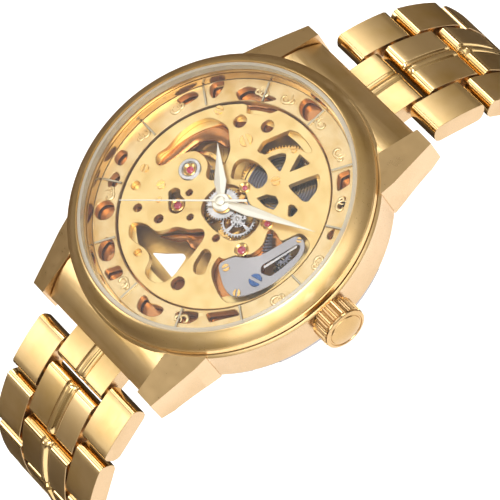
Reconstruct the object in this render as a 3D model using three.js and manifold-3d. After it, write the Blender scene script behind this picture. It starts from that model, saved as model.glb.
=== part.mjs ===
// A gold skeleton wristwatch on an open link bracelet.
// Millimetres, +Z up. The origin is the centre of the case back's flat glass, the dial faces +Z,
// twelve o'clock is +Y and the crown is at +X. The watch stands like an arch on its bracelet's two
// halves: the clasp cover ends the half at twelve and the latch plate ends the half at six.
import * as THREE from 'three';
import { mergeVertices } from 'three/addons/utils/BufferGeometryUtils.js';
import Module from 'manifold-3d';

const wasm = await Module();
wasm.setup();

// ---------------------------------------------------------------- driving sizes
const GAP = 0.3;                 // air between neighbouring pieces that touch in the real watch
const RUNNING = 0.12;            // radial clearance of a pin in its hole
const BEZEL_R = 20;
const CASE_R = 20.4;
const BORE_R = 17.4;             // case bore round the dial ring
const LEDGE_R = 15.8;            // case bore below the ledge that carries the movement
const HEAD_Z = 8.7;              // height of the bezel's outer edge above the case back's glass
const CASE_TOP = HEAD_Z - 1.7;
const CASE_BOTTOM = HEAD_Z - 7.2;
const STEM_Z = HEAD_Z - 4;       // height of the crown, the stem and the keyless work
const ROUND = 40;                // sides of a large round piece
const SMALL_ROUND = 12;          // sides of a small round piece

// movement levels, measured down from the bezel's outer edge
const level = (depth) => HEAD_Z - depth;
const PLATE_TOP = level(1.85);
const PLATE_R = 13.9;
const PLATE_THICK = 1;
const BRIDGE_TOP = level(5.8);
const BRIDGE_THICK = 0.6;

// movement axes in plan
const BARREL = [2.7, 6.7];
const THIRD = [3.6, -2.3];
const ESCAPE = [-1.6, -4.1];
const PALLET = [-4.1, -3];
const BALANCE = [-7.4, 0];
const MINUTE = [3.1, 0];

// bracelet
const LINK_THICK = 2.8;
const LINK_HALF = LINK_THICK / 2;
const CENTRE_HALF = 4.6;         // half width of a centre link
const OUTER_IN = 5;              // where an outer link starts, from the middle plane
const BAND_HALF = 9.9;
const CENTRE_PITCH = 4.3;        // pin to pin in a centre link
const OUTER_PITCH = 4.2;         // pin to pin in an outer link
const SHORT_END = 1.3;           // link length beyond its pin on the rounded side
const LONG_END = 2.3;            // link length beyond its pin on the overlapping side
const PIN_R = 0.6;
const SPRING_BAR_R = 0.75;
const SPRING_BAR = [21.7, HEAD_Z - 7.2];
const LINK_ANGLES = [14, 27, 37, 49, 63, 78, 86, 90, 90, 90, 90, 90];

// ---------------------------------------------------------------- materials
const metal = (color, roughness) => new THREE.MeshStandardMaterial({ color, roughness, metalness: 1 });
const clear = (color) => new THREE.MeshStandardMaterial({
  color, roughness: 0.05, metalness: 0, transparent: true, opacity: 0.3,
});
const polishedGold = metal(0xd9b46a, 0.12);
const satinGold = metal(0xcfa95f, 0.35);
const steel = metal(0xb9bcc2, 0.25);
const darkSteel = metal(0x55585f, 0.3);
const brass = metal(0xc79a4b, 0.3);
const sapphire = clear(0xf4f8ff);

// ---------------------------------------------------------------- helpers
const watch = new THREE.Group();

function add(name, geometry, material) {
  const mesh = new THREE.Mesh(geometry, material);
  mesh.name = name;
  watch.add(mesh);
  return mesh;
}

function toManifold(geometry) {
  const bare = geometry.clone();
  bare.deleteAttribute('normal');
  bare.deleteAttribute('uv');
  const merged = mergeVertices(bare, 1e-4);
  return new wasm.Manifold(new wasm.Mesh({
    numProp: 3,
    vertProperties: new Float32Array(merged.attributes.position.array),
    triVerts: new Uint32Array(merged.index.array),
  }));
}

function toGeometry(manifold) {
  const mesh = manifold.getMesh();
  const geometry = new THREE.BufferGeometry();
  geometry.setAttribute('position', new THREE.BufferAttribute(mesh.vertProperties, 3));
  geometry.setIndex(new THREE.BufferAttribute(mesh.triVerts, 1));
  geometry.computeVertexNormals();
  return geometry;
}

function join(...geometries) {
  return toGeometry(wasm.Manifold.union(geometries.map(toManifold)));
}

function cut(geometry, ...tools) {
  return toGeometry(toManifold(geometry).subtract(wasm.Manifold.union(tools.map(toManifold))));
}

function box(x, y, z) {
  const geometry = new THREE.BoxGeometry(x[1] - x[0], y[1] - y[0], z[1] - z[0]);
  return geometry.translate((x[0] + x[1]) / 2, (y[0] + y[1]) / 2, (z[0] + z[1]) / 2);
}

// A disc or post standing on bottom, centred on a plan point.
function post(centre, radius, bottom, top, sides = SMALL_ROUND) {
  const geometry = new THREE.CylinderGeometry(radius, radius, top - bottom, sides);
  return geometry.rotateX(Math.PI / 2).translate(centre[0], centre[1], (bottom + top) / 2);
}

// A rod along X through the point [y, z].
function rod(point, radius, from, to, sides = SMALL_ROUND) {
  const geometry = new THREE.CylinderGeometry(radius, radius, to - from, sides);
  return geometry.rotateZ(-Math.PI / 2).translate((from + to) / 2, point[0], point[1]);
}

// A ring turned from a closed profile of [radius, z] points, listed in either direction.
function turned(profile, sides = ROUND) {
  const points = profile.map(([r, z]) => new THREE.Vector2(r, z));
  if (THREE.ShapeUtils.isClockWise(points)) points.reverse();
  points.push(points[0].clone());
  return new THREE.LatheGeometry(points, sides).rotateX(Math.PI / 2);
}

function outline(points) {
  return new THREE.Shape(points.map(([x, y]) => new THREE.Vector2(x, y)));
}

function circle(centre, radius, sides = SMALL_ROUND) {
  const points = [];
  for (let i = 0; i < sides; i += 1) {
    const angle = (2 * Math.PI * i) / sides;
    points.push([centre[0] + radius * Math.cos(angle), centre[1] + radius * Math.sin(angle)]);
  }
  return points;
}

// A plate of one plan outline with windows, between two heights.
function plate(points, windows, bottom, top) {
  const shape = outline(points);
  shape.holes = windows.map((window) => outline(window));
  const geometry = new THREE.ExtrudeGeometry(shape, { depth: top - bottom, bevelEnabled: false });
  return geometry.translate(0, 0, bottom);
}

// A side profile of [y, z] points, run across the band from one x to another.
function across(profile, from, to) {
  return plate(profile, [], from, to).applyMatrix4(new THREE.Matrix4().makeBasis(
    new THREE.Vector3(0, 1, 0), new THREE.Vector3(0, 0, 1), new THREE.Vector3(1, 0, 0)));
}

// A piece of ring in plan, from one clock angle to another (degrees, clockwise from twelve).
function sector(inner, outer, from, to, steps = 4) {
  const points = [];
  const at = (radius, degrees) => {
    const angle = THREE.MathUtils.degToRad(degrees);
    return [radius * Math.sin(angle), radius * Math.cos(angle)];
  };
  for (let i = 0; i <= steps; i += 1) points.push(at(outer, from + ((to - from) * i) / steps));
  for (let i = steps; i >= 0; i -= 1) points.push(at(inner, from + ((to - from) * i) / steps));
  return points;
}

const moved = (points, centre) => points.map(([x, y]) => [x + centre[0], y + centre[1]]);

// ---------------------------------------------------------------- case
function lug() {
  const top = level(1.5);
  const tipY = 23.4;
  const under = level(8.1);
  const plan = plate([[10.1, 13], [13, 13], [14.4, 14.6], [13.5, 18.6], [12.4, tipY], [10.1, tipY]],
    [], under, top);
  // the top facet falls away from the bezel towards the tip
  const facetStart = 20.2;
  const facetSlope = Math.atan(0.465);
  const facetTurn = Math.atan2(0.606, 0.796);
  const facet = box([-12, 12], [0, 14], [0, 6]).rotateX(-facetSlope).translate(0, facetStart, top);
  facet.rotateZ(-facetTurn);
  const belly = box([8, 16], [8, 18.5], [under - 1, CASE_BOTTOM]);
  return toManifold(cut(plan, facet, belly));
}

function hood() {
  const side = [[15, CASE_TOP], [20.4, CASE_TOP], [21.5, level(2.5)], [22.6, level(3.8)],
    [23.2, level(5.2)], [23.1, level(5.8)], [15, level(5.8)]];
  return toManifold(across(side, -10.2, 10.2));
}

// The hollow under a hood that takes the end link.
function endLinkBay() {
  return toManifold(across([[18.8, level(4.8)], [24, level(5.72)], [24, CASE_BOTTOM - 2],
    [18.8, CASE_BOTTOM - 2]], -10.1, 10.1));
}

function caseMiddle() {
  const quarter = lug();
  const half = wasm.Manifold.union([hood(), quarter, quarter.mirror([1, 0, 0])]);
  const ends = wasm.Manifold.union([half, half.mirror([0, 1, 0])]);
  const band = toManifold(post([0, 0], CASE_R, CASE_BOTTOM, CASE_TOP, ROUND));
  const bore = toManifold(post([0, 0], BORE_R, level(3.5), CASE_TOP + 4, ROUND));
  const lower = toManifold(post([0, 0], LEDGE_R, CASE_BOTTOM - 4, CASE_TOP, ROUND));
  const seat = toManifold(post([0, 0], BEZEL_R + 0.35, CASE_TOP, CASE_TOP + 4, ROUND));
  const backSeat = toManifold(post([0, 0], 18.1, CASE_BOTTOM - 2, CASE_BOTTOM + 0.6, ROUND));
  const stemHole = toManifold(rod([0, STEM_Z], 1.6, 14, 22));
  const bars = [1, -1].map((side) => toManifold(
    rod([side * SPRING_BAR[0], SPRING_BAR[1]], SPRING_BAR_R + RUNNING, -11.5, 11.5)));
  const bay = endLinkBay();
  return toGeometry(wasm.Manifold.union([band, ends])
    .subtract(wasm.Manifold.union([bore, lower, seat, backSeat, stemHole, bay, bay.mirror([0, 1, 0]), ...bars])));
}

function bezel() {
  const low = CASE_TOP + GAP;
  return turned([[20.1, low], [BEZEL_R, level(0.1)], [19.3, level(-0.75)], [18.5, level(-1.25)],
    [18.25, level(-1.25)], [18.25, level(0.15)], [17.6, level(0.15)], [17.6, level(0.5)],
    [18.4, level(0.5)], [18.4, low]]);
}

function crystal() {
  const bottom = level(-0.15);
  return turned([[0, bottom], [17.95, bottom], [17.95, level(-1.1)], [17.7, level(-1.3)],
    [0, level(-1.3)]]);
}

function rehautRing() {
  return turned([[18.1, level(0.8)], [18.1, level(1.35)], [17.3, level(1.35)], [17.55, level(0.8)]]);
}

function casebackRing() {
  const low = level(8.8);
  return turned([[19.3, CASE_BOTTOM - GAP], [19.3, level(8.3)], [18.6, low], [14.6, low],
    [14.6, level(7.6)], [14.1, level(7.6)], [14.1, CASE_BOTTOM], [17.8, CASE_BOTTOM],
    [17.8, CASE_BOTTOM - GAP]]);
}

function casebackCrystal() {
  return post([0, 0], 14.3, level(8.7), level(7.9), ROUND);
}

// ---------------------------------------------------------------- dial side
function dialRing() {
  const windows = [[14, 26], [34, 47], [58, 66], [70, 80], [102, 112], [118, 130], [134, 146], [152, 163],
    [170, 182], [188, 193.5], [197, 213], [220, 230], [238, 248], [254, 264], [276, 286], [292, 300],
    [306, 332], [341, 352]].map(([from, to]) => sector(14.8, 16.7, from, to, 2));
  return plate(circle([0, 0], BORE_R - 0.15, ROUND), [circle([0, 0], PLATE_R + 0.2, ROUND), ...windows],
    level(2.2), level(1.6));
}

function mainplate() {
  const club = [[-11.7, -1.3], [-12.2, 3.2], [-10.4, 6.7], [-7, 6.3], [-3.8, 1.7], [-5, 1.1],
    [-6.3, 2.2], [-8.8, 2.1], [-10.3, -0.8]];
  const barrelView = sector(2.2, 4.6, 190, 480, 9).map(([x, y]) => [x + BARREL[0], y + BARREL[1]]);
  const seeThrough = [[-7.8, -9.9], [-3.4, -4.9], [-2.2, -6.2], [-0.6, -7.4], [1.6, -9.2], [3.4, -11.2],
    [-1.2, -12.3], [-5, -11.7]];
  const bean = [[2.5, -5.8], [4.6, -6], [5.2, -7.8], [3, -7.5]];
  const balanceHole = circle(BALANCE, 0.7, 8);
  const centreHole = circle([0, 0], 0.95, 10);
  const thirdHole = circle(THIRD, 0.4, 8);
  const clutchSlot = [[10, -1.6], [13.2, -1.6], [13.2, 1.6], [10, 1.6]];
  const top = plate(circle([0, 0], PLATE_R, ROUND),
    [club, barrelView, seeThrough, bean, balanceHole, centreHole, thirdHole, clutchSlot],
    PLATE_TOP - PLATE_THICK, PLATE_TOP);
  const flange = turned([[16.9, level(2.55)], [16.9, level(3.15)], [13.1, level(3.15)], [13.1, level(2.55)]]);
  const keylessBay = box([9.9, 17.5], [-1.7, 1.7], [level(4), level(2.5)]);
  return toGeometry(toManifold(join(top, flange)).subtract(toManifold(keylessBay)));
}

function keylessCover() {
  const edge = [[5.7, -5.7], [8.9, -7.2], [10.7, -7.3], [11.8, -6], [12.8, -3.9], [13.4, -2.3], [13.6, 0],
    [13.4, 1.9], [12.8, 3.3], [11.6, 4], [10.5, 3.7], [10.1, 2.4], [9.6, 0.6], [9.1, -1.2], [7.8, -2.8],
    [6.8, -3.3]];
  return plate(edge, [[[10.3, -1.9], [11.5, -2.1], [12.6, 2.6], [11.5, 2.9]]], level(1.75), level(1.5));
}

// A hand drawn pointing at twelve, then turned clockwise to its clock angle.
function hand(half, degrees, bottom, top, holeRadius) {
  const windows = holeRadius > 0 ? [circle([0, 0], holeRadius, 8)] : [];
  const geometry = plate(half, windows, bottom, top);
  return geometry.rotateZ(-THREE.MathUtils.degToRad(degrees));
}

const HOUR_ANGLE = 305.5;
const MINUTE_ANGLE = 66;
const SECOND_ANGLE = 229;

function hourHand() {
  return hand([[-0.5, 1.4], [-0.8, 2.6], [0, 8.4], [0.8, 2.6], [0.5, 1.4], [1.2, 0.7], [1.2, -0.7],
    [0.5, -1.3], [-0.5, -1.3], [-1.2, -0.7], [-1.2, 0.7]].reverse(),
  HOUR_ANGLE, level(1.15), level(1), 0.85);
}

function minuteHand() {
  return hand([[-0.45, 1.1], [-0.75, 3.4], [0, 13.6], [0.75, 3.4], [0.45, 1.1], [1, 0.5], [1, -0.5],
    [0.4, -1.1], [-0.4, -1.1], [-1, -0.5], [-1, 0.5]].reverse(),
  MINUTE_ANGLE, level(0.8), level(0.65), 0.4);
}

function secondsHand() {
  return hand([[-0.14, 0.7], [-0.1, 13.4], [0.1, 13.4], [0.14, 0.7], [0.6, 0.3], [0.6, -0.3],
    [0.2, -0.7], [0.2, -3.6], [-0.2, -3.6], [-0.2, -0.7], [-0.6, -0.3], [-0.6, 0.3]].reverse(),
  SECOND_ANGLE, level(0.45), level(0.33), 0);
}

// ---------------------------------------------------------------- movement
// A crossed-out train wheel with its arbor and pinion.
function wheel(centre, radius, bottom, arbor, pinion) {
  const spokes = 5;
  const windows = [];
  for (let i = 0; i < spokes; i += 1) {
    const from = (360 / spokes) * i + 9;
    windows.push(moved(sector(Math.max(arbor.radius, pinion.radius) + 0.3, radius - 0.5, from, from + 54, 2),
      centre));
  }
  const disc = plate(circle(centre, radius, 24), windows, bottom, bottom + 0.2);
  const parts = [disc, post(centre, arbor.radius, arbor.bottom, arbor.top, 8)];
  if (pinion.top) parts.push(post(centre, pinion.radius, pinion.bottom, pinion.top, 10));
  return join(...parts);
}

function centreWheel() {
  const solid = join(
    wheel([0, 0], 3.6, level(3.35), { radius: 0.65, bottom: level(3.9), top: level(0.98) },
      { radius: 1.75, bottom: level(3.9), top: level(3.6) }),
    post([0, 0], 1.75, level(3.65), level(3.3), 10));
  return cut(solid, post([0, 0], 0.36, level(5), level(0), 8));
}

function hourWheel() {
  return plate(circle([0, 0], 1.95, 20), [circle([0, 0], 0.85, 10)], level(1.6), level(1.35));
}

function minuteWheel() {
  return join(post(MINUTE, 0.95, level(1.78), level(1.3), 10), post(MINUTE, 0.3, level(1.8), level(1.2), 8),
    plate(circle(MINUTE, 2.2, 20), [circle(MINUTE, 0.5, 8)], level(1.8), level(1.66)));
}

const thirdWheel = () => wheel(THIRD, 3.3, level(4.7), { radius: 0.2, bottom: level(5.6), top: level(2.2) },
  { radius: 0.45, bottom: level(4.6), top: level(3.05) });
const fourthWheel = () => wheel([0, 0], 3.8, level(5.5), { radius: 0.2, bottom: level(5.7), top: level(0.55) },
  { radius: 0.8, bottom: level(5.4), top: level(4.4) });
const escapeWheel = () => wheel(ESCAPE, 2, level(4.2), { radius: 0.2, bottom: level(5.6), top: level(3.05) },
  { radius: 0.4, bottom: level(5.6), top: level(4.1) });

function palletFork() {
  const along = [BALANCE[0] - PALLET[0], BALANCE[1] - PALLET[1]];
  const lever = plate([[-0.7, -0.6], [-0.35, -0.6], [-0.2, -0.25], [0, -0.25], [2, -0.14], [2.3, -0.35],
    [2.5, -0.35], [2.4, 0], [2.5, 0.35], [2.3, 0.35], [2, 0.14], [0, 0.25], [-0.2, 0.25], [-0.35, 0.6],
    [-0.7, 0.6], [-0.55, 0]], [], 0, 0.2);
  lever.rotateZ(Math.atan2(along[1], along[0])).translate(PALLET[0], PALLET[1], level(4.2));
  return join(lever, post(PALLET, 0.2, level(5.6), level(3.05), 8));
}

function balanceWheel() {
  const rim = plate(circle(BALANCE, 4.1, 28), [
    moved(sector(0.9, 3.6, 8, 172, 6), BALANCE), moved(sector(0.9, 3.6, 188, 352, 6), BALANCE)],
  level(5), level(4.6));
  return join(rim, post(BALANCE, 0.25, level(5.7), level(2.95), 8), post(BALANCE, 0.55, level(5.1), level(4.45), 8));
}

// A flat coiled ribbon in plan.
function spiral(centre, inner, pitch, turns, width, bottom, top, perTurn = 16) {
  const count = Math.round(turns * perTurn);
  const side = (offset) => {
    const points = [];
    for (let i = 0; i <= count; i += 1) {
      const angle = (2 * Math.PI * i) / perTurn;
      const radius = inner + (pitch * i) / perTurn + offset;
      points.push([centre[0] + radius * Math.cos(angle), centre[1] + radius * Math.sin(angle)]);
    }
    return points;
  };
  return plate([...side(width), ...side(0).reverse()], [], bottom, top);
}

const hairspring = () => spiral(BALANCE, 0.7, 0.45, 3, 0.1, level(5.45), level(5.25));
const mainspring = () => spiral(BARREL, 1.3, 0.8, 4, 0.25, level(4.9), level(4));

function barrel() {
  const bottom = level(5.1);
  const top = level(3.6);
  return turned([[1, top - 0.25], [4.75, top - 0.25], [4.75, bottom], [5.05, bottom], [5.05, top - 0.5],
    [5.25, top - 0.5], [5.25, top], [1, top]], 32).translate(BARREL[0], BARREL[1], 0);
}

function ratchetWheel() {
  return join(post(BARREL, 4.1, level(7.05), level(6.8), 28), post(BARREL, 0.7, level(6.9), level(3.1), 10));
}

function barrelBridge() {
  const bridgeEdge = sector(0.01, 13.4, -32, 158, 18);
  const edge = [[-2.2, -5.5], ...bridgeEdge.slice(0, 19).reverse(), [-2.2, 1.6]];
  const windows = [
    circle(BARREL, 0.95, 10),
    moved(sector(2, 4.4, 200, 330, 4), BARREL),
    moved(sector(2, 4.4, 20, 160, 4), BARREL),
    sector(5.6, 11.6, 92, 118, 3),
    sector(5.6, 11.6, 128, 150, 3),
  ];
  const feet = [-24, 75, 152].map((degrees) => {
    const angle = THREE.MathUtils.degToRad(degrees);
    return post([12.2 * Math.sin(angle), 12.2 * Math.cos(angle)], 0.8, BRIDGE_TOP - 0.1, level(3.5), 8);
  });
  return join(plate(edge, windows, BRIDGE_TOP - BRIDGE_THICK, BRIDGE_TOP), ...feet);
}

function balanceCock() {
  const edge = [[-13, -4.2], [-10.6, -2.8], [-8.4, -1.2], [-6.6, -1], [-6.4, 1], [-8.4, 1.2], [-10.6, 2.8],
    [-13, 4.2], [-13.4, 0]];
  const cock = plate(edge, [], BRIDGE_TOP - BRIDGE_THICK, BRIDGE_TOP);
  const foot = post([-12.6, 0], 0.7, BRIDGE_TOP - 0.1, level(3.5), 8);
  return join(cock, foot);
}

// ---------------------------------------------------------------- winding work
function crown() {
  const knurls = 24;
  const faceX = 23.4;
  const points = [];
  for (let i = 0; i < knurls * 2; i += 1) {
    const angle = (Math.PI * i) / knurls;
    const radius = i % 2 ? 2.6 : 2.8;
    points.push([radius * Math.cos(angle), radius * Math.sin(angle)]);
  }
  const knob = plate(points, [], 0, 2.6);
  const cap = post([0, 0], 2.35, 2.5, 2.75, 24);
  const socket = post([0, 0], 1.65, -1, 1.1, 16);
  const turnedKnob = cut(join(knob, cap), socket);
  return turnedKnob.rotateY(Math.PI / 2).translate(faceX - 2.75, 0, STEM_Z);
}

const crownTube = () => cut(rod([0, STEM_Z], 1.3, 16.2, 21.6), rod([0, STEM_Z], 0.75, 15, 23));
const windingStem = () => rod([0, STEM_Z], 0.45, 9.2, 21.5, 8);
const windingPinion = () => cut(rod([0, STEM_Z], 1, 13.6, 15), rod([0, STEM_Z], 0.6, 13, 16));
const slidingPinion = () => cut(rod([0, STEM_Z], 1.15, 10.6, 13.3), rod([0, STEM_Z], 0.6, 10, 14));

// ---------------------------------------------------------------- bracelet
// The side profile of a link that runs along +Y from its first pin.
function linkProfile(before, after, pitch) {
  const end = pitch + after;
  const soft = 0.9;
  return [[-before + soft, -LINK_HALF], [end - soft, -LINK_HALF], [end - 0.25, -LINK_HALF + 0.6], [end, 0],
    [end - 0.25, LINK_HALF - 0.6], [end - soft, LINK_HALF], [-before + soft, LINK_HALF],
    [-before + 0.25, LINK_HALF - 0.6], [-before, 0], [-before + 0.25, -LINK_HALF + 0.6]];
}

// A slab with the link profile across the band, from one x to another.
function slab(before, after, pitch, from, to) {
  return across(linkProfile(before, after, pitch), from, to);
}

function centreLink() {
  return cut(slab(LONG_END, SHORT_END, CENTRE_PITCH, -CENTRE_HALF, CENTRE_HALF),
    rod([0, 0], PIN_R + RUNNING, -6, 6, 10), rod([CENTRE_PITCH, 0], PIN_R + RUNNING, -6, 6, 10));
}

function endLink() {
  const block = cut(slab(1.9, SHORT_END, CENTRE_PITCH, -CENTRE_HALF, CENTRE_HALF),
    rod([CENTRE_PITCH, 0], PIN_R + RUNNING, -6, 6, 10));
  return join(block, rod([0, 0], SPRING_BAR_R, -11.2, 11.2, 10));
}

function outerLinks() {
  const reach = BAND_HALF - 0.6;
  return join(slab(SHORT_END, LONG_END, OUTER_PITCH, OUTER_IN, BAND_HALF),
    slab(SHORT_END, LONG_END, OUTER_PITCH, -BAND_HALF, -OUTER_IN),
    rod([0, 0], PIN_R, -reach, reach, 10), rod([OUTER_PITCH, 0], PIN_R, -reach, reach, 10));
}

// Lays one half of the bracelet from its spring bar to the clasp, returning its last pin [y, z].
function bracelet(side, label) {
  let [y, z] = SPRING_BAR;
  LINK_ANGLES.forEach((degrees, index) => {
    const isCentre = index % 2 === 0;
    const angle = THREE.MathUtils.degToRad(degrees);
    const pitch = isCentre ? CENTRE_PITCH : OUTER_PITCH;
    let geometry = isCentre ? centreLink() : outerLinks();
    if (index === 0) geometry = endLink();
    geometry.rotateX(-angle).translate(0, y, z);
    if (side < 0) geometry.rotateZ(Math.PI);
    const row = Math.ceil(index / 2);
    const kind = isCentre ? 'centre_link' : 'outer_links';
    add(`${kind}_${label}_${row}`, geometry, isCentre ? polishedGold : satinGold);
    y += pitch * Math.cos(angle);
    z -= pitch * Math.sin(angle);
  });
  return [y, z];
}

// ---------------------------------------------------------------- clasp
// Its pieces are drawn lying along Y, outer face down, as [y, z], and then hung from the last pins.
const END_PIN = [23.8, 3.4];     // clasp cover to the last outer links
const COVER_END = 20.5;
const COVER_FLOOR = 1.2;         // thickness of the cover's flat floor
const COVER_WALL = 1.2;
const COVER_WALL_TOP = 3.9;
const TONGUE_HALF = 4.2;
const EYE_R = 1.3;
const FOLD_PIN = [-18, 2];       // folding blade to clasp cover
const BLADE_HALF = 7.4;
const BUTTON = [9, 2.7];         // both push buttons

function claspCover() {
  const floor = box([-BAND_HALF, BAND_HALF], [-COVER_END, COVER_END], [0, COVER_FLOOR]);
  const walls = [1, -1].map((side) => box(
    side > 0 ? [BAND_HALF - COVER_WALL, BAND_HALF] : [-BAND_HALF, COVER_WALL - BAND_HALF],
    [-COVER_END, COVER_END], [COVER_FLOOR - 0.2, COVER_WALL_TOP]));
  const tongue = across([[18.5, 0], [COVER_END + 0.5, 0.4], [END_PIN[0] + 0.6, 2.3], [END_PIN[0], 4.5],
    [22, 4], [18.5, COVER_FLOOR + 0.4]], -TONGUE_HALF, TONGUE_HALF);
  const eye = rod(END_PIN, EYE_R, -TONGUE_HALF, TONGUE_HALF);
  return cut(join(floor, ...walls, tongue, eye), rod(END_PIN, PIN_R + RUNNING, -6, 6, 10),
    rod(FOLD_PIN, 0.5 + RUNNING, -9.5, 9.5, 10), rod(BUTTON, 1.1, -12, 12));
}

function foldingBlade() {
  const sheet = box([-BLADE_HALF, BLADE_HALF], [FOLD_PIN[0] + 0.2, 13], [1.6, 2.4]);
  const bar = rod(FOLD_PIN, 0.5, -9.3, 9.3, 10);
  const lip = box([-BLADE_HALF, BLADE_HALF], [12, 13], [2.3, 3.4]);
  return cut(join(sheet, bar, lip), box([-4.5, 4.5], [-13, 8], [0, 5]));
}

function latchPlate() {
  const z = [END_PIN[1] - 0.4, END_PIN[1] + 0.4];
  const sheet = box([-BLADE_HALF, BLADE_HALF], [-19.8, COVER_END], z);
  const foot = box([-BLADE_HALF, BLADE_HALF], [18.9, COVER_END], [z[0] - 0.6, z[1] + 0.6]);
  const neck = box([-TONGUE_HALF, TONGUE_HALF], [-END_PIN[0], -19], z);
  const eye = rod([-END_PIN[0], END_PIN[1]], EYE_R, -TONGUE_HALF, TONGUE_HALF);
  const rungs = [-14, -7, 0, 7].map((y) => box([-4.5, 4.5], [y, y + 4.5], [0, 5]));
  return cut(join(sheet, foot, neck, eye), rod([-END_PIN[0], END_PIN[1]], PIN_R + RUNNING, -6, 6, 10), ...rungs);
}

function pushButton(side) {
  return side > 0 ? rod(BUTTON, 0.95, 8.5, 10.6, 14) : rod(BUTTON, 0.95, -10.6, -8.5, 14);
}

// Turns a lying clasp piece upright and hangs it with its end pin on the bracelet's last pin.
function hung(geometry, side, lastPin) {
  geometry.translate(0, -side * END_PIN[0], -END_PIN[1]).rotateX((side * Math.PI) / 2);
  return geometry.translate(0, side * lastPin[0], lastPin[1]);
}

// ---------------------------------------------------------------- assembly
add('case_middle', caseMiddle(), satinGold);
add('bezel', bezel(), polishedGold);
add('crystal', crystal(), sapphire);
add('rehaut_ring', rehautRing(), polishedGold);
add('dial_ring', dialRing(), satinGold);
add('mainplate', mainplate(), satinGold);
add('caseback_ring', casebackRing(), steel);
add('caseback_crystal', casebackCrystal(), sapphire);

add('crown', crown(), polishedGold);
add('crown_tube', crownTube(), steel);
add('winding_stem', windingStem(), steel);
add('winding_pinion', windingPinion(), steel);
add('sliding_pinion', slidingPinion(), steel);
add('keyless_cover', keylessCover(), steel);

add('hour_hand', hourHand(), steel);
add('minute_hand', minuteHand(), steel);
add('seconds_hand', secondsHand(), steel);
add('hour_wheel', hourWheel(), brass);
add('minute_wheel', minuteWheel(), steel);
add('centre_wheel', centreWheel(), brass);
add('third_wheel', thirdWheel(), brass);
add('fourth_wheel', fourthWheel(), brass);
add('escape_wheel', escapeWheel(), steel);
add('pallet_fork', palletFork(), steel);
add('balance_wheel', balanceWheel(), brass);
add('hairspring', hairspring(), darkSteel);
add('balance_cock', balanceCock(), satinGold);
add('barrel_bridge', barrelBridge(), satinGold);
add('barrel', barrel(), brass);
add('mainspring', mainspring(), darkSteel);
add('ratchet_wheel', ratchetWheel(), steel);

bracelet(1, '12');
const lastPin = bracelet(-1, '6');

add('clasp_cover', hung(claspCover(), 1, lastPin), satinGold);
add('folding_blade', hung(foldingBlade(), 1, lastPin), polishedGold);
add('push_button_right', hung(pushButton(1), 1, lastPin), polishedGold);
add('push_button_left', hung(pushButton(-1), 1, lastPin), polishedGold);
add('latch_plate', hung(latchPlate(), -1, lastPin), polishedGold);

export default watch;
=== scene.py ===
"""Looks for the skeleton wristwatch. Sizes are in millimetres and become metres where a mesh is made."""
import math
import bmesh
import bpy
from mathutils import Matrix, Vector
from mathutils.geometry import delaunay_2d_cdt


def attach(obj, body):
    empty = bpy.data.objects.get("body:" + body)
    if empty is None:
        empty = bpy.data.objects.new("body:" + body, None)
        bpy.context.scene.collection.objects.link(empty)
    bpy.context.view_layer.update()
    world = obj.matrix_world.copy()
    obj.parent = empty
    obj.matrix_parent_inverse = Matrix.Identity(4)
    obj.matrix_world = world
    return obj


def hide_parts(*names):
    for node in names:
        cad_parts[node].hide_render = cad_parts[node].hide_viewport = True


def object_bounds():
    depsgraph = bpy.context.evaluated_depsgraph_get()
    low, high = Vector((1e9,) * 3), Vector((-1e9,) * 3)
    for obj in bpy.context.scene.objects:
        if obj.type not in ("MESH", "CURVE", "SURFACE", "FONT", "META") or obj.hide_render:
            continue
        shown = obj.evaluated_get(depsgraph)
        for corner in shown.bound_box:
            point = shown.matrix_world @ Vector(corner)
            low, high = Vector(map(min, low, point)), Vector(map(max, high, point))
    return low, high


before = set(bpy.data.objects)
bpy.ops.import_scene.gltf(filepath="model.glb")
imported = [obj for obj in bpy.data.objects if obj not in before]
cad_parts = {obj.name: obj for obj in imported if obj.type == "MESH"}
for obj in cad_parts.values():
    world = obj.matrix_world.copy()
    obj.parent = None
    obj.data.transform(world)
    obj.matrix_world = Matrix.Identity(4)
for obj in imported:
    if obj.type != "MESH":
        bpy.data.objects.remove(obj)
CAD_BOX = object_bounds()

MM = 0.001
MICROMETRE = 1e-6
FLOOR = CAD_BOX[0][2]      # metres: where the bracelet stands

# Heights and depths. A depth is measured down from the bezel's outer edge.
HEAD_Z = 8.7               # height of the bezel's outer edge above the case back's glass
RING_TOP = 1.6
PLATE_TOP = 1.85
STEM_DEPTH = 4.0           # axis of the crown and the keyless work
BRIDGE_TOP = 5.8
BRIDGE_LOW = 6.4

# Axes of the movement, in plan: +x to the crown, +y to twelve o'clock.
BARREL = (2.7, 6.7)
THIRD = (3.6, -2.3)
ESCAPE = (-1.6, -4.1)
PALLET = (-4.1, -3.0)
BALANCE = (-7.4, 0.0)
MINUTE = (3.1, 0.0)

# Bracelet.
SPRING_BAR = (21.7, HEAD_Z - 7.2)    # y and z of the first hinge
LINK_ANGLES = (14, 27, 37, 49, 63, 78, 86, 90, 90, 90, 90, 90)    # degrees below level, row by row
CENTRE_PITCH = 4.3
OUTER_PITCH = 4.2
BAND_HALF = 9.9
CENTRE_HALF = 4.6
OUTER_START = 5.0
LINK_HALF = 1.4            # half the thickness
PIN_R = 0.6


def level(depth):
    """Height of a depth below the bezel's outer edge."""
    return HEAD_Z - depth


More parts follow.
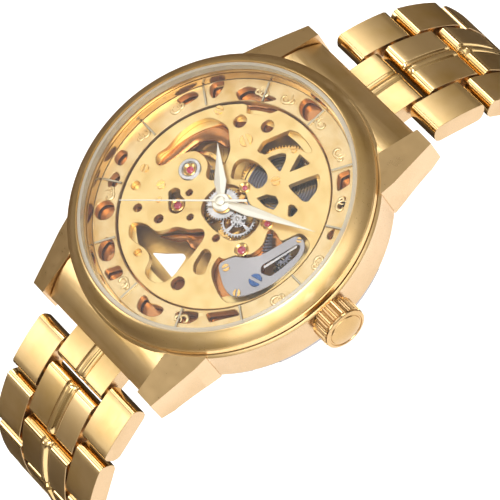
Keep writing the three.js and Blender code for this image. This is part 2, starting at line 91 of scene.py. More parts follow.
# ---------------------------------------------------------------- materials
GOLD = (0.83, 0.59, 0.285)
GOLD_DEEP = (0.71, 0.46, 0.16)
PLATE_GOLD = (0.91, 0.66, 0.29)
PLATE_DEEP = (0.74, 0.47, 0.15)
RING_GOLD = (0.89, 0.69, 0.38)
BRASS = (0.78, 0.50, 0.17)
BRASS_DEEP = (0.55, 0.30, 0.08)
AMBER = (0.42, 0.17, 0.045)
AMBER_DEEP = (0.20, 0.07, 0.02)
STEEL = (0.50, 0.49, 0.50)
STEEL_DEEP = (0.28, 0.28, 0.30)
DARK_STEEL = (0.15, 0.15, 0.19)
DARK_STEEL_DEEP = (0.06, 0.06, 0.07)
LAVENDER = (0.43, 0.42, 0.45)
LAVENDER_DEEP = (0.34, 0.33, 0.36)
BLUE = (0.03, 0.09, 0.25)
BLUE_DEEP = (0.01, 0.03, 0.12)
RUBY = (0.45, 0.01, 0.06)
SILVER = (1.0, 0.97, 0.86)
SILVER_DEEP = (0.94, 0.88, 0.72)


def shader_tree(name):
    """A new material, its node tree and its Principled shader."""
    material = bpy.data.materials.new(name)
    material.use_nodes = True
    return material, material.node_tree, material.node_tree.nodes["Principled BSDF"]


def node(tree, kind, values=None, joined=None):
    """Adds a shader node. values sets inputs, joined feeds them from other nodes' outputs."""
    made = tree.nodes.new("ShaderNode" + kind)
    for socket, value in (values or {}).items():
        made.inputs[socket].default_value = value
    for socket, output in (joined or {}).items():
        tree.links.new(output, made.inputs[socket])
    return made


def metal(name, colour, deep, roughness, grain=(900, 900, 900), depth=0.4, patch=180):
    """A metal with slow colour patches, fine tool marks along the grain, and bright worn edges.

    grain is how many marks lie in a metre along x, y and z; depth is their height in micrometres.
    """
    material, tree, shader = shader_tree(name)
    shader.inputs["Metallic"].default_value = 1.0
    place = node(tree, "TexCoord").outputs["Object"]

    patches = node(tree, "TexNoise", {"Scale": patch, "Detail": 3.0}, {"Vector": place})
    spread = node(tree, "MapRange", {"From Min": 0.42, "From Max": 0.78},
            {"Value": patches.outputs["Fac"]})
    blend = node(tree, "MixRGB", {"Color1": (*colour, 1), "Color2": (*deep, 1)},
                 {"Fac": spread.outputs["Result"]})
    worn = node(tree, "NewGeometry").outputs["Pointiness"]
    edge = node(tree, "MapRange", {"From Min": 0.53, "From Max": 0.62, "To Max": 0.55}, {"Value": worn})
    bright = [min(1.0, c * 1.15 + 0.06) for c in colour]
    finish = node(tree, "MixRGB", {"Color2": (*bright, 1)},
                  {"Fac": edge.outputs["Result"], "Color1": blend.outputs["Color"]})
    tree.links.new(finish.outputs["Color"], shader.inputs["Base Color"])

    stretch = node(tree, "Mapping", {"Scale": grain}, {"Vector": place})
    marks = node(tree, "TexNoise", {"Scale": 1.0, "Detail": 4.0, "Roughness": 0.65},
                 {"Vector": stretch.outputs["Vector"]}).outputs["Fac"]
    rough = node(tree, "MapRange", {"To Min": roughness * 0.7, "To Max": roughness * 1.35},
            {"Value": marks})
    tree.links.new(rough.outputs["Result"], shader.inputs["Roughness"])
    bump = node(tree, "Bump", {"Distance": depth * MICROMETRE}, {"Height": marks})
    tree.links.new(bump.outputs["Normal"], shader.inputs["Normal"])
    return material


ALONG_BAND = (9000, 500, 500)
ALONG_X = (400, 9000, 9000)
FROSTED = (5000, 5000, 5000)
POLISH = (700, 700, 700)

polished_gold = metal("polished_gold", GOLD, GOLD_DEEP, 0.13, POLISH, 0.3)
# The lugs' sloping top facets: a darker copy of the gold, painted shade.
lug_gold_painted_shade = metal("lug_gold_painted_shade", (0.72, 0.50, 0.24), (0.62, 0.41, 0.18), 0.30, POLISH, 0.4)
# The crown: a darker copy of the gold, painted shade.
crown_gold_painted_shade = metal("crown_gold_painted_shade", (0.60, 0.40, 0.19), (0.46, 0.29, 0.11), 0.22, POLISH, 0.5)
bezel_gold = metal("bezel_gold", GOLD, GOLD_DEEP, 0.30, FROSTED, 1.0)
satin_gold = metal("satin_gold", GOLD, GOLD_DEEP, 0.35, ALONG_BAND, 2.2)
# Faces towards ±x: brushed along x, in a darker copy of the gold that is painted shade.
side_gold_painted_shade = metal("side_gold_painted_shade", (0.62, 0.44, 0.26), (0.52, 0.35, 0.18), 0.28, ALONG_X, 1.4)
plate_gold = metal("plate_gold", PLATE_GOLD, PLATE_DEEP, 0.36, FROSTED, 20.0, 420)
ring_gold = metal("ring_gold", RING_GOLD, PLATE_DEEP, 0.38, (3600, 3600, 3600), 34.0, 350)
gilt_brass = metal("gilt_brass", BRASS, BRASS_DEEP, 0.24, FROSTED, 1.0, 400)
amber_gold = metal("amber_gold", AMBER, AMBER_DEEP, 0.18, (500, 500, 500), 60.0, 500)
# Near-black brown for the discs under the plate's holes: painted shade.
painted_shade_brown = metal("painted_shade_brown", (0.16, 0.055, 0.022), (0.07, 0.022, 0.01), 0.5, FROSTED, 4.0, 300)
baton_grey = metal("baton_grey", (0.46, 0.41, 0.31), (0.30, 0.26, 0.19), 0.30, FROSTED, 1.0, 700)
warm_gold = metal("warm_gold", (0.86, 0.55, 0.17), (0.36, 0.14, 0.03), 0.40, (350, 350, 350), 90.0, 330)
bright_steel = metal("bright_steel", STEEL, STEEL_DEEP, 0.20, FROSTED, 0.8, 400)
dark_steel = metal("dark_steel", DARK_STEEL, DARK_STEEL_DEEP, 0.13, FROSTED, 1.2, 500)
lavender_steel = metal("lavender_steel", LAVENDER, LAVENDER_DEEP, 0.38, FROSTED, 2.5, 300)
blued_steel = metal("blued_steel", BLUE, BLUE_DEEP, 0.20, FROSTED, 0.8, 700)
hand_silver = metal("hand_silver", SILVER, SILVER_DEEP, 0.42, (600, 600, 600), 0.4, 300)


def clear(name, colour, roughness, mirror, shade):
    """A see-through piece: light passes straight, with a mirror share set by the viewing angle."""
    material, tree, shader = shader_tree(name)
    tree.nodes.remove(shader)
    place = node(tree, "TexCoord").outputs["Object"]
    smear = node(tree, "TexNoise", {"Scale": 260}, {"Vector": place})
    haze = node(tree, "MapRange", {"From Min": 0.35, "From Max": 0.8, "To Min": roughness,
            "To Max": roughness * 1.6 + 0.02}, {"Value": smear.outputs["Fac"]})
    passing = node(tree, "BsdfTransparent", {"Color": (*colour, 1)})
    gloss = node(tree, "BsdfGlossy", {}, {"Roughness": haze.outputs["Result"]})
    body = node(tree, "BsdfDiffuse", {"Color": (*shade, 1)})
    glance = node(tree, "LayerWeight", {"Blend": 0.5})
    steep = node(tree, "Math", {1: 5.0}, {0: glance.outputs["Facing"]})
    steep.operation = "POWER"
    share = node(tree, "MapRange", {"To Min": mirror, "To Max": 0.85}, {"Value": steep.outputs["Value"]})
    mirrored = node(tree, "MixShader", {}, {"Fac": share.outputs["Result"], 1: passing.outputs["BSDF"],
            2: gloss.outputs["BSDF"]})
    cloudy = node(tree, "MixShader", {"Fac": 1.0 - sum(colour) / 3},
                  {1: mirrored.outputs["Shader"], 2: body.outputs["BSDF"]})
    tree.links.new(cloudy.outputs["Shader"], tree.nodes["Material Output"].inputs["Surface"])
    return material


sapphire = clear("sapphire", (0.985, 0.985, 0.98), 0.01, 0.012, (0.9, 0.9, 0.9))
crystal_rim = clear("crystal_rim", (0.72, 0.68, 0.58), 0.15, 0.04, (1.0, 0.97, 0.86))


def jewel(name, colour):
    """Polished synthetic ruby: deep colour, clear coat, a cloudy heart."""
    material = metal(name, colour, [c * 0.4 for c in colour], 0.10, POLISH, 0.2, 900)
    shader = material.node_tree.nodes["Principled BSDF"]
    shader.inputs["Metallic"].default_value = 0.0
    shader.inputs["Coat Weight"].default_value = 0.8
    shader.inputs["Coat Roughness"].default_value = 0.03
    return material


ruby = jewel("ruby", RUBY)


# ---------------------------------------------------------------- outlines, in plan
def polar(radius, degrees, centre=(0, 0)):
    """A plan point at a clock angle: degrees clockwise from twelve."""
    angle = math.radians(degrees)
    return centre[0] + radius * math.sin(angle), centre[1] + radius * math.cos(angle)


def circle(centre, radius, count=40):
    """A round outline."""
    return [polar(radius, 360 * i / count, centre) for i in range(count)]


def sector(centre, inner, outer, start, end, steps=8):
    """A piece of ring between two clock angles."""
    angles = [start + (end - start) * i / steps for i in range(steps + 1)]
    return [polar(outer, a, centre) for a in angles] + [polar(inner, a, centre) for a in reversed(angles)]


def smooth(points, steps=5):
    """A closed curve through the points."""
    count = len(points)
    result = []
    for i in range(count):
        p0, p1, p2, p3 = (Vector(points[(i + k) % count]) for k in (-1, 0, 1, 2))
        for step in range(steps):
            t = step / steps
            result.append(tuple(
                0.5 * (2 * p1 + (p2 - p0) * t + (2 * p0 - 5 * p1 + 4 * p2 - p3) * t * t
                       + (3 * p1 - p0 - 3 * p2 + p3) * t * t * t)))
    return result


def rounded(points, radius, steps=4):
    """A closed outline with each corner replaced by a curve that starts radius away from it."""
    count = len(points)
    result = []
    for i in range(count):
        before, corner, after = (Vector(points[(i + k) % count]) for k in (-1, 0, 1))
        into = (before - corner)
        out = (after - corner)
        start = corner + into * min(0.48, radius / into.length)
        end = corner + out * min(0.48, radius / out.length)
        for step in range(steps + 1):
            t = step / steps
            result.append(tuple(start * (1 - t) ** 2 + corner * 2 * t * (1 - t) + end * t * t))
    return result


def toothed(centre, teeth, tooth):
    """A round outline of repeated teeth. tooth is (share of the pitch, radius) points."""
    return [polar(radius, 360 * (i + share) / teeth, centre) for i in range(teeth)
            for share, radius in tooth]


def gear(centre, tip, teeth, height=0.28):
    """The outline of a toothed wheel."""
    root = tip - height
    return toothed(centre, teeth, ((0.0, root), (0.22, root), (0.36, tip), (0.64, tip), (0.78, root)))


def hooked(centre, tip, teeth, height=0.7):
    """The outline of an escape wheel, with teeth that lean forward."""
    tooth = ((0.0, tip), (0.10, tip - 0.06), (0.22, tip - height), (0.75, tip - height * 0.9))
    return toothed(centre, teeth, tooth)


# ---------------------------------------------------------------- solids, as (points, faces)
def signed_area(loop):
    """Area of a plan loop, positive when it runs anticlockwise."""
    return sum(loop[i - 1][0] * y - x * loop[i - 1][1] for i, (x, y) in enumerate(loop)) / 2


def inset(loop, distance):
    """A loop moved towards its left-hand side."""
    count = len(loop)
    result = []
    for i in range(count):
        before, here, after = (Vector(loop[(i + k) % count]) for k in (-1, 0, 1))
        first, second = (here - before).normalized(), (after - here).normalized()
        across = Vector((-first.y - second.y, first.x + second.x))
        if across.length < 0.3:
            across = Vector((-first.y, first.x))
        across.normalize()
        reach = distance / max(0.6, across.dot(Vector((-first.y, first.x))))
        result.append(tuple(here + across * reach))
    return result


def inside(point, sides):
    """Whether a plan point lies within an odd number of the loops that the sides make up."""
    x, y = point
    crossings = 0
    for a, b in sides:
        if (a.y > y) != (b.y > y) and x < a.x + (y - a.y) * (b.x - a.x) / (b.y - a.y):
            crossings += 1
    return crossings % 2 == 1


def sheet(loops, bottom, top, edge=0.05):
    """A flat plate between two heights. The first loop is its outline, the others are windows."""
    points, faces, caps, borders = [], [], [], []
    for index, loop in enumerate(loops):
        loop = [p for i, p in enumerate(loop) if (Vector(p) - Vector(loop[i - 1])).length > 0.004]
        if (signed_area(loop) > 0) != (index == 0):
            loop.reverse()
        inner = inset(loop, edge)
        start, size = len(points), len(loop)
        for row, height in ((inner, bottom), (loop, bottom + edge), (loop, top - edge), (inner, top)):
            points += [(x, y, height) for x, y in row]
        for row in range(3):
            low, high = start + row * size, start + row * size + size
            faces += [(low + i, low + (i + 1) % size, high + (i + 1) % size, high + i)
                    for i in range(size)]
        first = len(caps)
        caps += [Vector(p) for p in inner]
        borders += [(first + i, first + (i + 1) % size) for i in range(size)]
    places, _, triangles, _, _, _ = delaunay_2d_cdt(caps, borders, [], 0, 1e-6)
    sides = [(caps[a], caps[b]) for a, b in borders]
    triangles = [t for t in triangles if inside(sum((places[i] for i in t), Vector((0, 0))) / 3, sides)]
    for height in (bottom, top):
        start = len(points)
        points += [(p.x, p.y, height) for p in places]
        faces += [tuple(start + i for i in triangle) for triangle in triangles]
    return points, faces


def lathe(profile, centre=(0, 0), count=96):
    """A ring or disc turned about a vertical axis from a closed profile of (radius, height)."""
    points, faces = [], []
    for i in range(count):
        angle = 2 * math.pi * i / count
        for radius, height in profile:
            points.append((centre[0] + radius * math.cos(angle), centre[1] + radius * math.sin(angle),
                    height))
    size = len(profile)
    for i in range(count):
        after = (i + 1) % count
        for j in range(size):
            k = (j + 1) % size
            if profile[j][0] < 1e-6 and profile[k][0] < 1e-6:
                continue
            faces.append((i * size + j, after * size + j, after * size + k, i * size + k))
    return points, faces


def plate(loops, low, top, edge=0.05):
    """A sheet between two depths."""
    return sheet(loops, level(low), level(top), edge)


def turned(profile, centre=(0, 0), count=96):
    """A lathe whose closed profile is (radius, depth) points."""
    return lathe([(radius, level(depth)) for radius, depth in profile], centre, count)


def domed_disc(centre, radius, bottom, top, dome=0.05, chamfer=0.08):
    """A small round piece with a chamfered, slightly domed top."""
    profile = [(0, bottom), (radius, bottom), (radius, top - chamfer),
            (radius - chamfer * 0.4, top - chamfer * 0.3), (radius - chamfer, top),
            (radius * 0.5, top + dome * 0.75), (0, top + dome)]
    return lathe(profile, centre, 28)


def prism(profile, stations, lift=None):
    """A side profile of (y, z) points run across x. lift(x, y, z) may raise a point."""
    points, faces = [], []
    size = len(profile)
    for x in stations:
        for y, z in profile:
            points.append((x, y, z + (lift(x, y, z) if lift else 0.0)))
    for i in range(len(stations) - 1):
        for j in range(size):
            k = (j + 1) % size
            faces.append((i * size + j, i * size + k, (i + 1) * size + k, (i + 1) * size + j))
    faces.append(tuple(range(size - 1, -1, -1)))
    faces.append(tuple((len(stations) - 1) * size + j for j in range(size)))
    return points, faces


def merged(*solids):
    """Several solids as one."""
    points, faces = [], []
    for more_points, more_faces in solids:
        start = len(points)
        points += more_points
        faces += [tuple(start + i for i in face) for face in more_faces]
    return points, faces


def moved(solid, matrix):
    points, faces = solid
    return [tuple(matrix @ Vector(p)) for p in points], faces


def laid_along_x(solid, x=0.0, y=0.0, z=0.0):
    """Lays a solid that stands on +Z along +X, with its foot at x."""
    return moved(solid, Matrix.Translation((x, y, z)) @ Matrix(((0, 0, 1, 0), (0, 1, 0, 0), (-1, 0, 0, 0),
            (0, 0, 0, 1))))


def rod(radius, start, end, y, z, chamfer=0.1, count=24):
    """A round bar along x with chamfered ends."""
    length = end - start
    profile = [(0, 0), (radius - chamfer, 0), (radius, chamfer), (radius, length - chamfer),
            (radius - chamfer, length), (0, length)]
    return laid_along_x(lathe(profile, (0, 0), count), start, y, z)


def to_mesh(name, solid, scale=1.0):
    """A clean Blender mesh of a solid, its faces pointing out."""
    points, faces = solid
    mesh = bpy.data.meshes.new(name)
    mesh.from_pydata([(x * scale, y * scale, z * scale) for x, y, z in points], [], faces)
    work = bmesh.new()
    work.from_mesh(mesh)
    bmesh.ops.remove_doubles(work, verts=work.verts, dist=0.002 * scale)
    bmesh.ops.dissolve_degenerate(work, edges=work.edges, dist=0.001 * scale)
    bmesh.ops.recalc_face_normals(work, faces=work.faces)
    work.to_mesh(mesh)
    work.free()
    return mesh


def carved(solid, steps):
    """A solid after a list of ("UNION" | "DIFFERENCE" | "INTERSECT", solid) steps."""
    body = bpy.data.objects.new("carved", to_mesh("carved", solid))
    bpy.context.scene.collection.objects.link(body)
    tools = []
    for kind, other in steps:
        tool = bpy.data.objects.new("tool", to_mesh("tool", other))
        bpy.context.scene.collection.objects.link(tool)
        modifier = body.modifiers.new("carve", "BOOLEAN")
        modifier.operation = kind
        modifier.solver = "EXACT"
        modifier.object = tool
        tools.append(tool)
    shape = body.evaluated_get(bpy.context.evaluated_depsgraph_get())
    mesh = shape.to_mesh()
    points = [tuple(v.co) for v in mesh.vertices]
    faces = [tuple(face.vertices) for face in mesh.polygons]
    shape.to_mesh_clear()
    for item in [body, *tools]:
        bpy.data.objects.remove(item)
    return points, faces


def piece(name, solid, materials, body, replaced=(), bevel=0.0, sharp=35.0, pick=None):
    """Makes a visible piece. pick(face centre, face normal) may choose a material from the list."""
    mesh = to_mesh(name, solid, MM)
    if not isinstance(materials, (list, tuple)):
        materials = [materials]
    for material in materials:
        mesh.materials.append(material)
    if pick:
        for face in mesh.polygons:
            face.material_index = pick(face.center / MM, face.normal)
    mesh.shade_smooth()
    if bevel == 0.0:
        mesh.set_sharp_from_angle(angle=math.radians(sharp))
    made = bpy.data.objects.new(name, mesh)
    bpy.context.scene.collection.objects.link(made)
    if bevel > 0.0:
        soften = made.modifiers.new("edges", "BEVEL")
        soften.width = bevel * MM
        soften.segments = 2
        soften.limit_method = "ANGLE"
        soften.angle_limit = math.radians(sharp)
        even = made.modifiers.new("shading", "WEIGHTED_NORMAL")
        even.keep_sharp = True
    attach(made, body)
    if replaced:
        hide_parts(*replaced)


# ---------------------------------------------------------------- case
def lug(side, end):
    """One of the four lugs: a tapered horn with a sloping, triangular top facet."""
    tip, root = 23.4, 9.98
    plan = [(root, 13.0), (13.0, 13.0), (14.4, 14.6), (14.1, 16.6), (13.55, 18.8), (12.95, 21.2),
            (12.4, tip), (root, tip)]
    horn = plate([plan], 8.1, 1.4, 0.01)
    slope = math.atan(0.465)              # the facet falls this much for each step outward
    turn = math.atan2(0.606, 0.796)       # and outward means this far round from twelve o'clock
    block = ([(x, y, z) for x in (-14, 14) for y in (0, 16) for z in (0, 9)],
             [(0, 1, 3, 2), (4, 6, 7, 5), (0, 4, 5, 1), (2, 3, 7, 6), (0, 2, 6, 4), (1, 5, 7, 3)])
    facet = moved(block, Matrix.Rotation(-turn, 4, "Z") @ Matrix.Translation((0, 20.2, level(1.5)))
                  @ Matrix.Rotation(-slope, 4, "X"))
    belly = prism([(5, level(12)), (5, level(7.2)), (17.0, level(7.2)), (19.0, level(7.5)),
            (21.0, level(7.9)), (22.0, level(8.3)), (22.0, level(12))], [7, 17])
    horn = carved(horn, [("DIFFERENCE", facet), ("DIFFERENCE", belly)])
    return moved(horn, Matrix.Diagonal((side, end, 1, 1)))


def hood(end, half, drop):
    """The sloping brow between two lugs, over the end link."""
    slope = [(15, 1.7), (17.3, 1.7), (18.5, 2.0), (19.5, 2.45), (20.4, 3.0), (21.2, 3.6), (21.9, 4.2),
            (22.5, 4.8), (23.0, 5.4), (23.15, 5.75), (23.0, 6.0), (15, 6.0)]
    side = [(y, level(depth + (drop if depth < 5 else 0))) for y, depth in slope]
    return moved(prism(side, [-half, half]), Matrix.Diagonal((1, end, 1, 1)))


def case_body():
    side = [(15.8, 7.2), (20.1, 7.2), (20.4, 6.9), (20.4, 2.0), (20.1, 1.7),
            (17.4, 1.7), (17.4, 3.5), (15.8, 3.5)]
    steps = [("UNION", hood(end, half, drop)) for end in (1, -1)
            for half, drop in ((10.15, 0.4), (9.8, 0.0))]
    steps += [("UNION", lug(s, e)) for e in (1, -1) for s in (1, -1)]
    bore = turned([(0, 12), (15.8, 12), (15.8, 3.5), (17.4, 3.5), (17.4, 0), (0, 0)])
    seat = turned([(0, 1.7), (20.35, 1.7), (20.35, 0), (0, 0)])
    back_seat = turned([(0, 9), (18.1, 9), (18.1, 6.6), (0, 6.6)])
    stem_hole = rod(1.6, 14, 22, 0, level(STEM_DEPTH))
    steps += [("DIFFERENCE", tool) for tool in (bore, seat, back_seat, stem_hole)]
    for end in (1, -1):
        bay = prism([(18.8, level(4.8)), (24, level(5.72)), (24, level(9.2)), (18.8, level(9.2))],
                [-10.1, 10.1])
        steps.append(("DIFFERENCE", moved(bay, Matrix.Diagonal((1, end, 1, 1)))))

    # Faces towards ±x take the side gold and the lugs' top facets the lug gold. Both are darker copies of
    # the gold, painted as shade.
    def finish(centre, normal):
        if abs(normal.z) < 0.35:
            return 1 if abs(normal.x) > 0.35 else 0
        return 2 if abs(centre.x) > 10.1 and 0.8 < normal.z < 0.97 else 0
    piece("case_body", carved(turned(side, count=160), steps), [satin_gold, side_gold_painted_shade, lug_gold_painted_shade], "case",
            ["case_middle"], bevel=0.10, sharp=24, pick=finish)


def bezel():
    """One broad, slightly convex band with a thin step at its foot."""
    outer = [(20.05, level(1.4)), (20.05, level(0.66)), (19.92, level(0.56)), (20.0, level(0.46))]
    start, end = Vector((20.02, level(0.26))), Vector((18.42, level(-1.22)))
    swell = Vector((start.x - end.x, end.y - start.y)).yx.normalized() * 0.08
    band = [tuple(start.lerp(end, i / 8) + swell * math.sin(math.pi * i / 8)) for i in range(9)]
    inner = [(18.3, level(-1.26)), (18.25, level(-1.15)), (18.25, level(0.15)), (17.6, level(0.15)),
            (17.6, level(0.5)), (18.4, level(0.5)), (18.4, level(1.4))]
    piece("bezel_ring", lathe(outer + band + inner, count=200), bezel_gold, "case",
            ["bezel"], sharp=40)


def crystal():
    glass = [(0, -0.15), (17.66, -0.15), (17.66, -1.22), (17.56, -1.3), (0, -1.3)]
    piece("crystal_glass", turned(glass, count=128), sapphire, "case", ["crystal"])
    rim = [(17.7, -0.1), (18.22, -0.1), (18.22, -1.0), (18.1, -1.12), (17.7, -1.22)]
    piece("crystal_rim", turned(rim, count=160), crystal_rim, "case")


def rehaut():
    wall = [(18.1, 0.6), (18.1, 1.5), (17.2, 1.5), (17.45, 0.6)]
    piece("rehaut_wall", turned(wall, count=160), polished_gold, "case", ["rehaut_ring"])


# ---------------------------------------------------------------- dial side
# Openings of the dial ring, clockwise from twelve o'clock.
RING_WINDOWS = [
    smooth([(-3.2, 16.2), (-2.3, 16.8), (-0.7, 16.9), (0.2, 16.4), (-0.2, 15.3), (-0.6, 14.6),
            (-1.8, 14.6), (-2.9, 15.2)]),
    rounded([(8.7, 14.0), (10.3, 12.7), (9.9, 11.0), (8.6, 12.0), (8.1, 12.6)], 0.4),
    smooth([(11.0, 11.1), (11.5, 11.0), (12.2, 9.9), (11.6, 9.7), (11.1, 10.3)]),
    smooth([(13.4, 7.5), (13.8, 7.1), (14.2, 6.4), (13.8, 6.1), (13.3, 6.6)]),
    rounded([(13.2, -8.0), (11.8, -10.0), (11.0, -11.3), (9.7, -10.8), (10.8, -9.6), (12.2, -7.9)], 0.35),
    rounded([(7.6, -12.3), (8.9, -11.4), (9.5, -12.0), (9.1, -13.2), (7.8, -14.1), (6.6, -13.4)], 0.35),
    smooth([(1.6, -15.2), (2.0, -14.6), (3.2, -14.8), (4.2, -14.3), (5.1, -14.2), (5.3, -15.0),
            (4.6, -15.9), (3.2, -16.4), (2.2, -16.2)]),
    rounded([(-3.9, -14.3), (-2.7, -14.6), (-2.6, -15.2), (-3.2, -16.5), (-4.5, -16.3),
            (-4.9, -15.9)], 0.4),
    smooth([(-8.2, -13.2), (-7.3, -12.8), (-6.3, -13.2), (-5.5, -14.0), (-5.4, -14.8), (-6.0, -15.3),
            (-6.7, -15.4), (-7.6, -14.9), (-8.1, -14.2)]),
    circle((-11.3, -10.9), 1.3),
    smooth([(-16.2, -4.3), (-15.3, -3.9), (-14.6, -4.6), (-14.5, -5.5), (-15.2, -5.8), (-16.0, -5.4)]),
    smooth([(-14.3, -6.6), (-13.3, -6.7), (-12.8, -7.9), (-13.4, -8.5), (-14.2, -7.8)]),
    smooth([(-15.9, 5.2), (-14.9, 5.0), (-14.3, 6.2), (-14.2, 7.3), (-15.0, 7.3), (-15.7, 6.4)]),
    smooth([(-13.6, 10.8), (-12.7, 10.4), (-12.3, 8.7), (-13.1, 8.5), (-14.1, 9.4)]),
    smooth([(-10.7, 11.0), (-10.4, 12.2), (-9.4, 12.9), (-8.2, 13.2), (-7.4, 13.4), (-6.0, 13.8),
            (-7.0, 12.5), (-8.4, 11.6), (-9.6, 10.6)]),
]


def lower_plate():
    """The curved gilt floor under the wheels, open where light shows straight through."""
    opening = rounded([(-4.6, -10.2), (-2.9, -8.9), (-1.4, -7.5), (-0.6, -7.6), (0.2, -10.6)], 0.35)
    places = [(3.3, 20), (7.4, 118), (8.2, 252), (9.6, 292), (6.5, 340)]
    waves = [turned([(1.4, 5.66), (2.4, 5.66), (2.15, 5.35), (1.6, 5.40)], polar(r, a), 40)
             for r, a in places]
    piece("lower_plate", merged(plate([circle((0, 0), 13.3, 96), opening], 5.78, 5.64, 0.02), *waves),
          warm_gold, "case")


def amber_painted_reflections():
    """Glossy amber pieces at the far sides of the two big windows: a painted reflection of the window
    walls.
    """
    club = [(-11.4, -2.8), (-12.8, -1.6), (-12.8, 5.0), (-11.2, 7.2), (-8.0, 8.0), (-5.6, 6.9),
            (-6.6, 5.4), (-8.6, 4.9), (-10.0, 3.4), (-10.3, 0.8), (-10.6, -1.2)]
    heart = [(-3.9, -8.2), (-2.7, -6.6), (-1.6, -5.6), (-0.4, -4.4), (0.6, -3.7), (1.8, -4.6),
            (1.6, -6.0), (0.3, -6.5), (-0.8, -6.3), (-1.6, -7.1), (-2.6, -7.6)]
    solids = [plate([smooth(outline, 4)], 3.6, 3.05, 0.16) for outline in (club, heart)]
    piece("amber_painted_reflections", merged(*solids), amber_gold, "case", sharp=60)


def chapter_ring():
    loops = [circle((0, 0), 17.22, 160), circle((0, 0), 14.12, 160), *RING_WINDOWS]
    piece("chapter_ring", plate(loops, 2.9, RING_TOP, 0.08), ring_gold, "case",
          ["dial_ring"])
    floor = [(17.2, 3.4), (17.2, 3.2), (13.1, 3.2), (13.1, 3.4)]
    piece("ring_floor", turned(floor, count=128), amber_gold, "case")


def scroll(centre, size, turn, hand):
    """A curled leaf ornament, as plan points along its middle."""
    points = []
    for i in range(15):
        t = i / 14
        radius = size * (1 - 0.8 * t)
        points.append(polar(radius, turn + hand * 330 * t, centre))
    return points


def tube(path, radius, height, sides=6):
    """A thin raised cord along plan points, for cast ornaments."""
    points, faces = [], []
    count = len(path)
    for i, (x, y) in enumerate(path):
        before, after = Vector(path[max(0, i - 1)]), Vector(path[min(count - 1, i + 1)])
        along = (after - before).normalized()
        thick = radius * math.sin(math.pi * (0.12 + 0.76 * i / (count - 1)))
        for j in range(sides):
            angle = 2 * math.pi * j / sides
            across, up = thick * math.cos(angle), thick * math.sin(angle)
            points.append((x - along.y * across, y + along.x * across, height + up * 0.7))
    for i in range(count - 1):
        for j in range(sides):
            k = (j + 1) % sides
            faces.append((i * sides + j, i * sides + k, (i + 1) * sides + k, (i + 1) * sides + j))
    faces.append(tuple(range(sides)))
    faces.append(tuple((count - 1) * sides + j for j in range(sides - 1, -1, -1)))
    return points, faces


def ring_ornaments():
    """Plain curled leaves in low relief on the ring, clear of its windows."""
    places = [(15.6, 5), (15.7, 22), (15.5, 50), (15.8, 77), (15.8, 104), (15.7, 148), (15.6, 187),
            (15.5, 233), (15.6, 268), (15.7, 285), (15.6, 330), (15.6, 341)]
    solids = []
    for index, (radius, angle) in enumerate(places):
        centre = polar(radius, angle)
        hand = 1 if index % 2 else -1
        solids.append(tube(scroll(centre, 0.95, angle + 40 * hand, hand), 0.24, level(RING_TOP)))
        side = polar(radius, angle + 3.4 * hand)
        solids.append(tube(scroll(side, 0.6, angle - 60 * hand, -hand), 0.2, level(RING_TOP)))
    piece("ring_ornaments", merged(*solids), ring_gold, "case", sharp=80)


def batons():
    """Twelve thin hour marks standing on the ring."""
    solids = []
    for hour in range(12):
        start, end = polar(14.25, hour * 30 + 0.5), polar(17.0, hour * 30 + 0.5)
        along = (Vector(end) - Vector(start)).normalized()
        side = Vector((-along.y, along.x)) * 0.13
        outline = [tuple(Vector(start) - side), tuple(Vector(end) - side), tuple(Vector(end) + side),
                   tuple(Vector(start) + side)]
        solids.append(plate([outline], RING_TOP, RING_TOP - 0.3, 0.05))
    piece("hour_batons", merged(*solids), baton_grey, "case")


# Openings of the mainplate. Round holes are a centre and a radius.
PLATE_HOLES = [((-4.1, 10.7), 0.85), ((-7.4, 8.75), 0.87), ((-11.0, -6.0), 0.6), ((-8.4, -7.75), 0.57),
               ((-5.1, -6.85), 0.6), ((-2.15, -3.95), 0.45), ((2.65, -3.5), 0.5), ((3.65, -10.7), 0.9),
               ((-3.6, -11.6), 0.5), ((-4.85, -1.9), 0.45)]
# The club-shaped opening over the balance.
CLUB = [(-11.3, -2.2), (-12.2, -1.4), (-12.0, 0.2), (-12.2, 2.4), (-11.9, 4.6), (-11.0, 6.2), (-9.6, 6.9),
        (-8.0, 7.1), (-6.8, 6.4), (-5.5, 5.5), (-4.7, 4.4), (-4.0, 2.8), (-3.8, 1.3), (-4.6, 0.95),
        (-5.2, 1.3), (-6.0, 2.2), (-7.2, 2.55), (-8.6, 2.3), (-9.5, 1.3), (-9.9, 0.0), (-10.2, -1.2),
        (-10.6, -2.0)]
# The heart-shaped opening over the escapement, where the background shows through.
SEE_THROUGH = [(-7.3, -9.8), (-6.6, -8.9), (-5.6, -8.4), (-4.1, -8.2), (-3.2, -7.2), (-2.7, -6.3),
        (-2.0, -5.7), (-1.0, -5.2), (-0.4, -4.6), (0.3, -4.0), (1.0, -4.1), (1.5, -4.8), (1.8, -6.0),
        (2.1, -7.6), (2.3, -9.4), (2.3, -11.4), (1.3, -12.6), (-0.6, -12.7), (-1.8, -11.0), (-3.2, -10.6),
        (-4.9, -10.9), (-6.2, -10.9)]
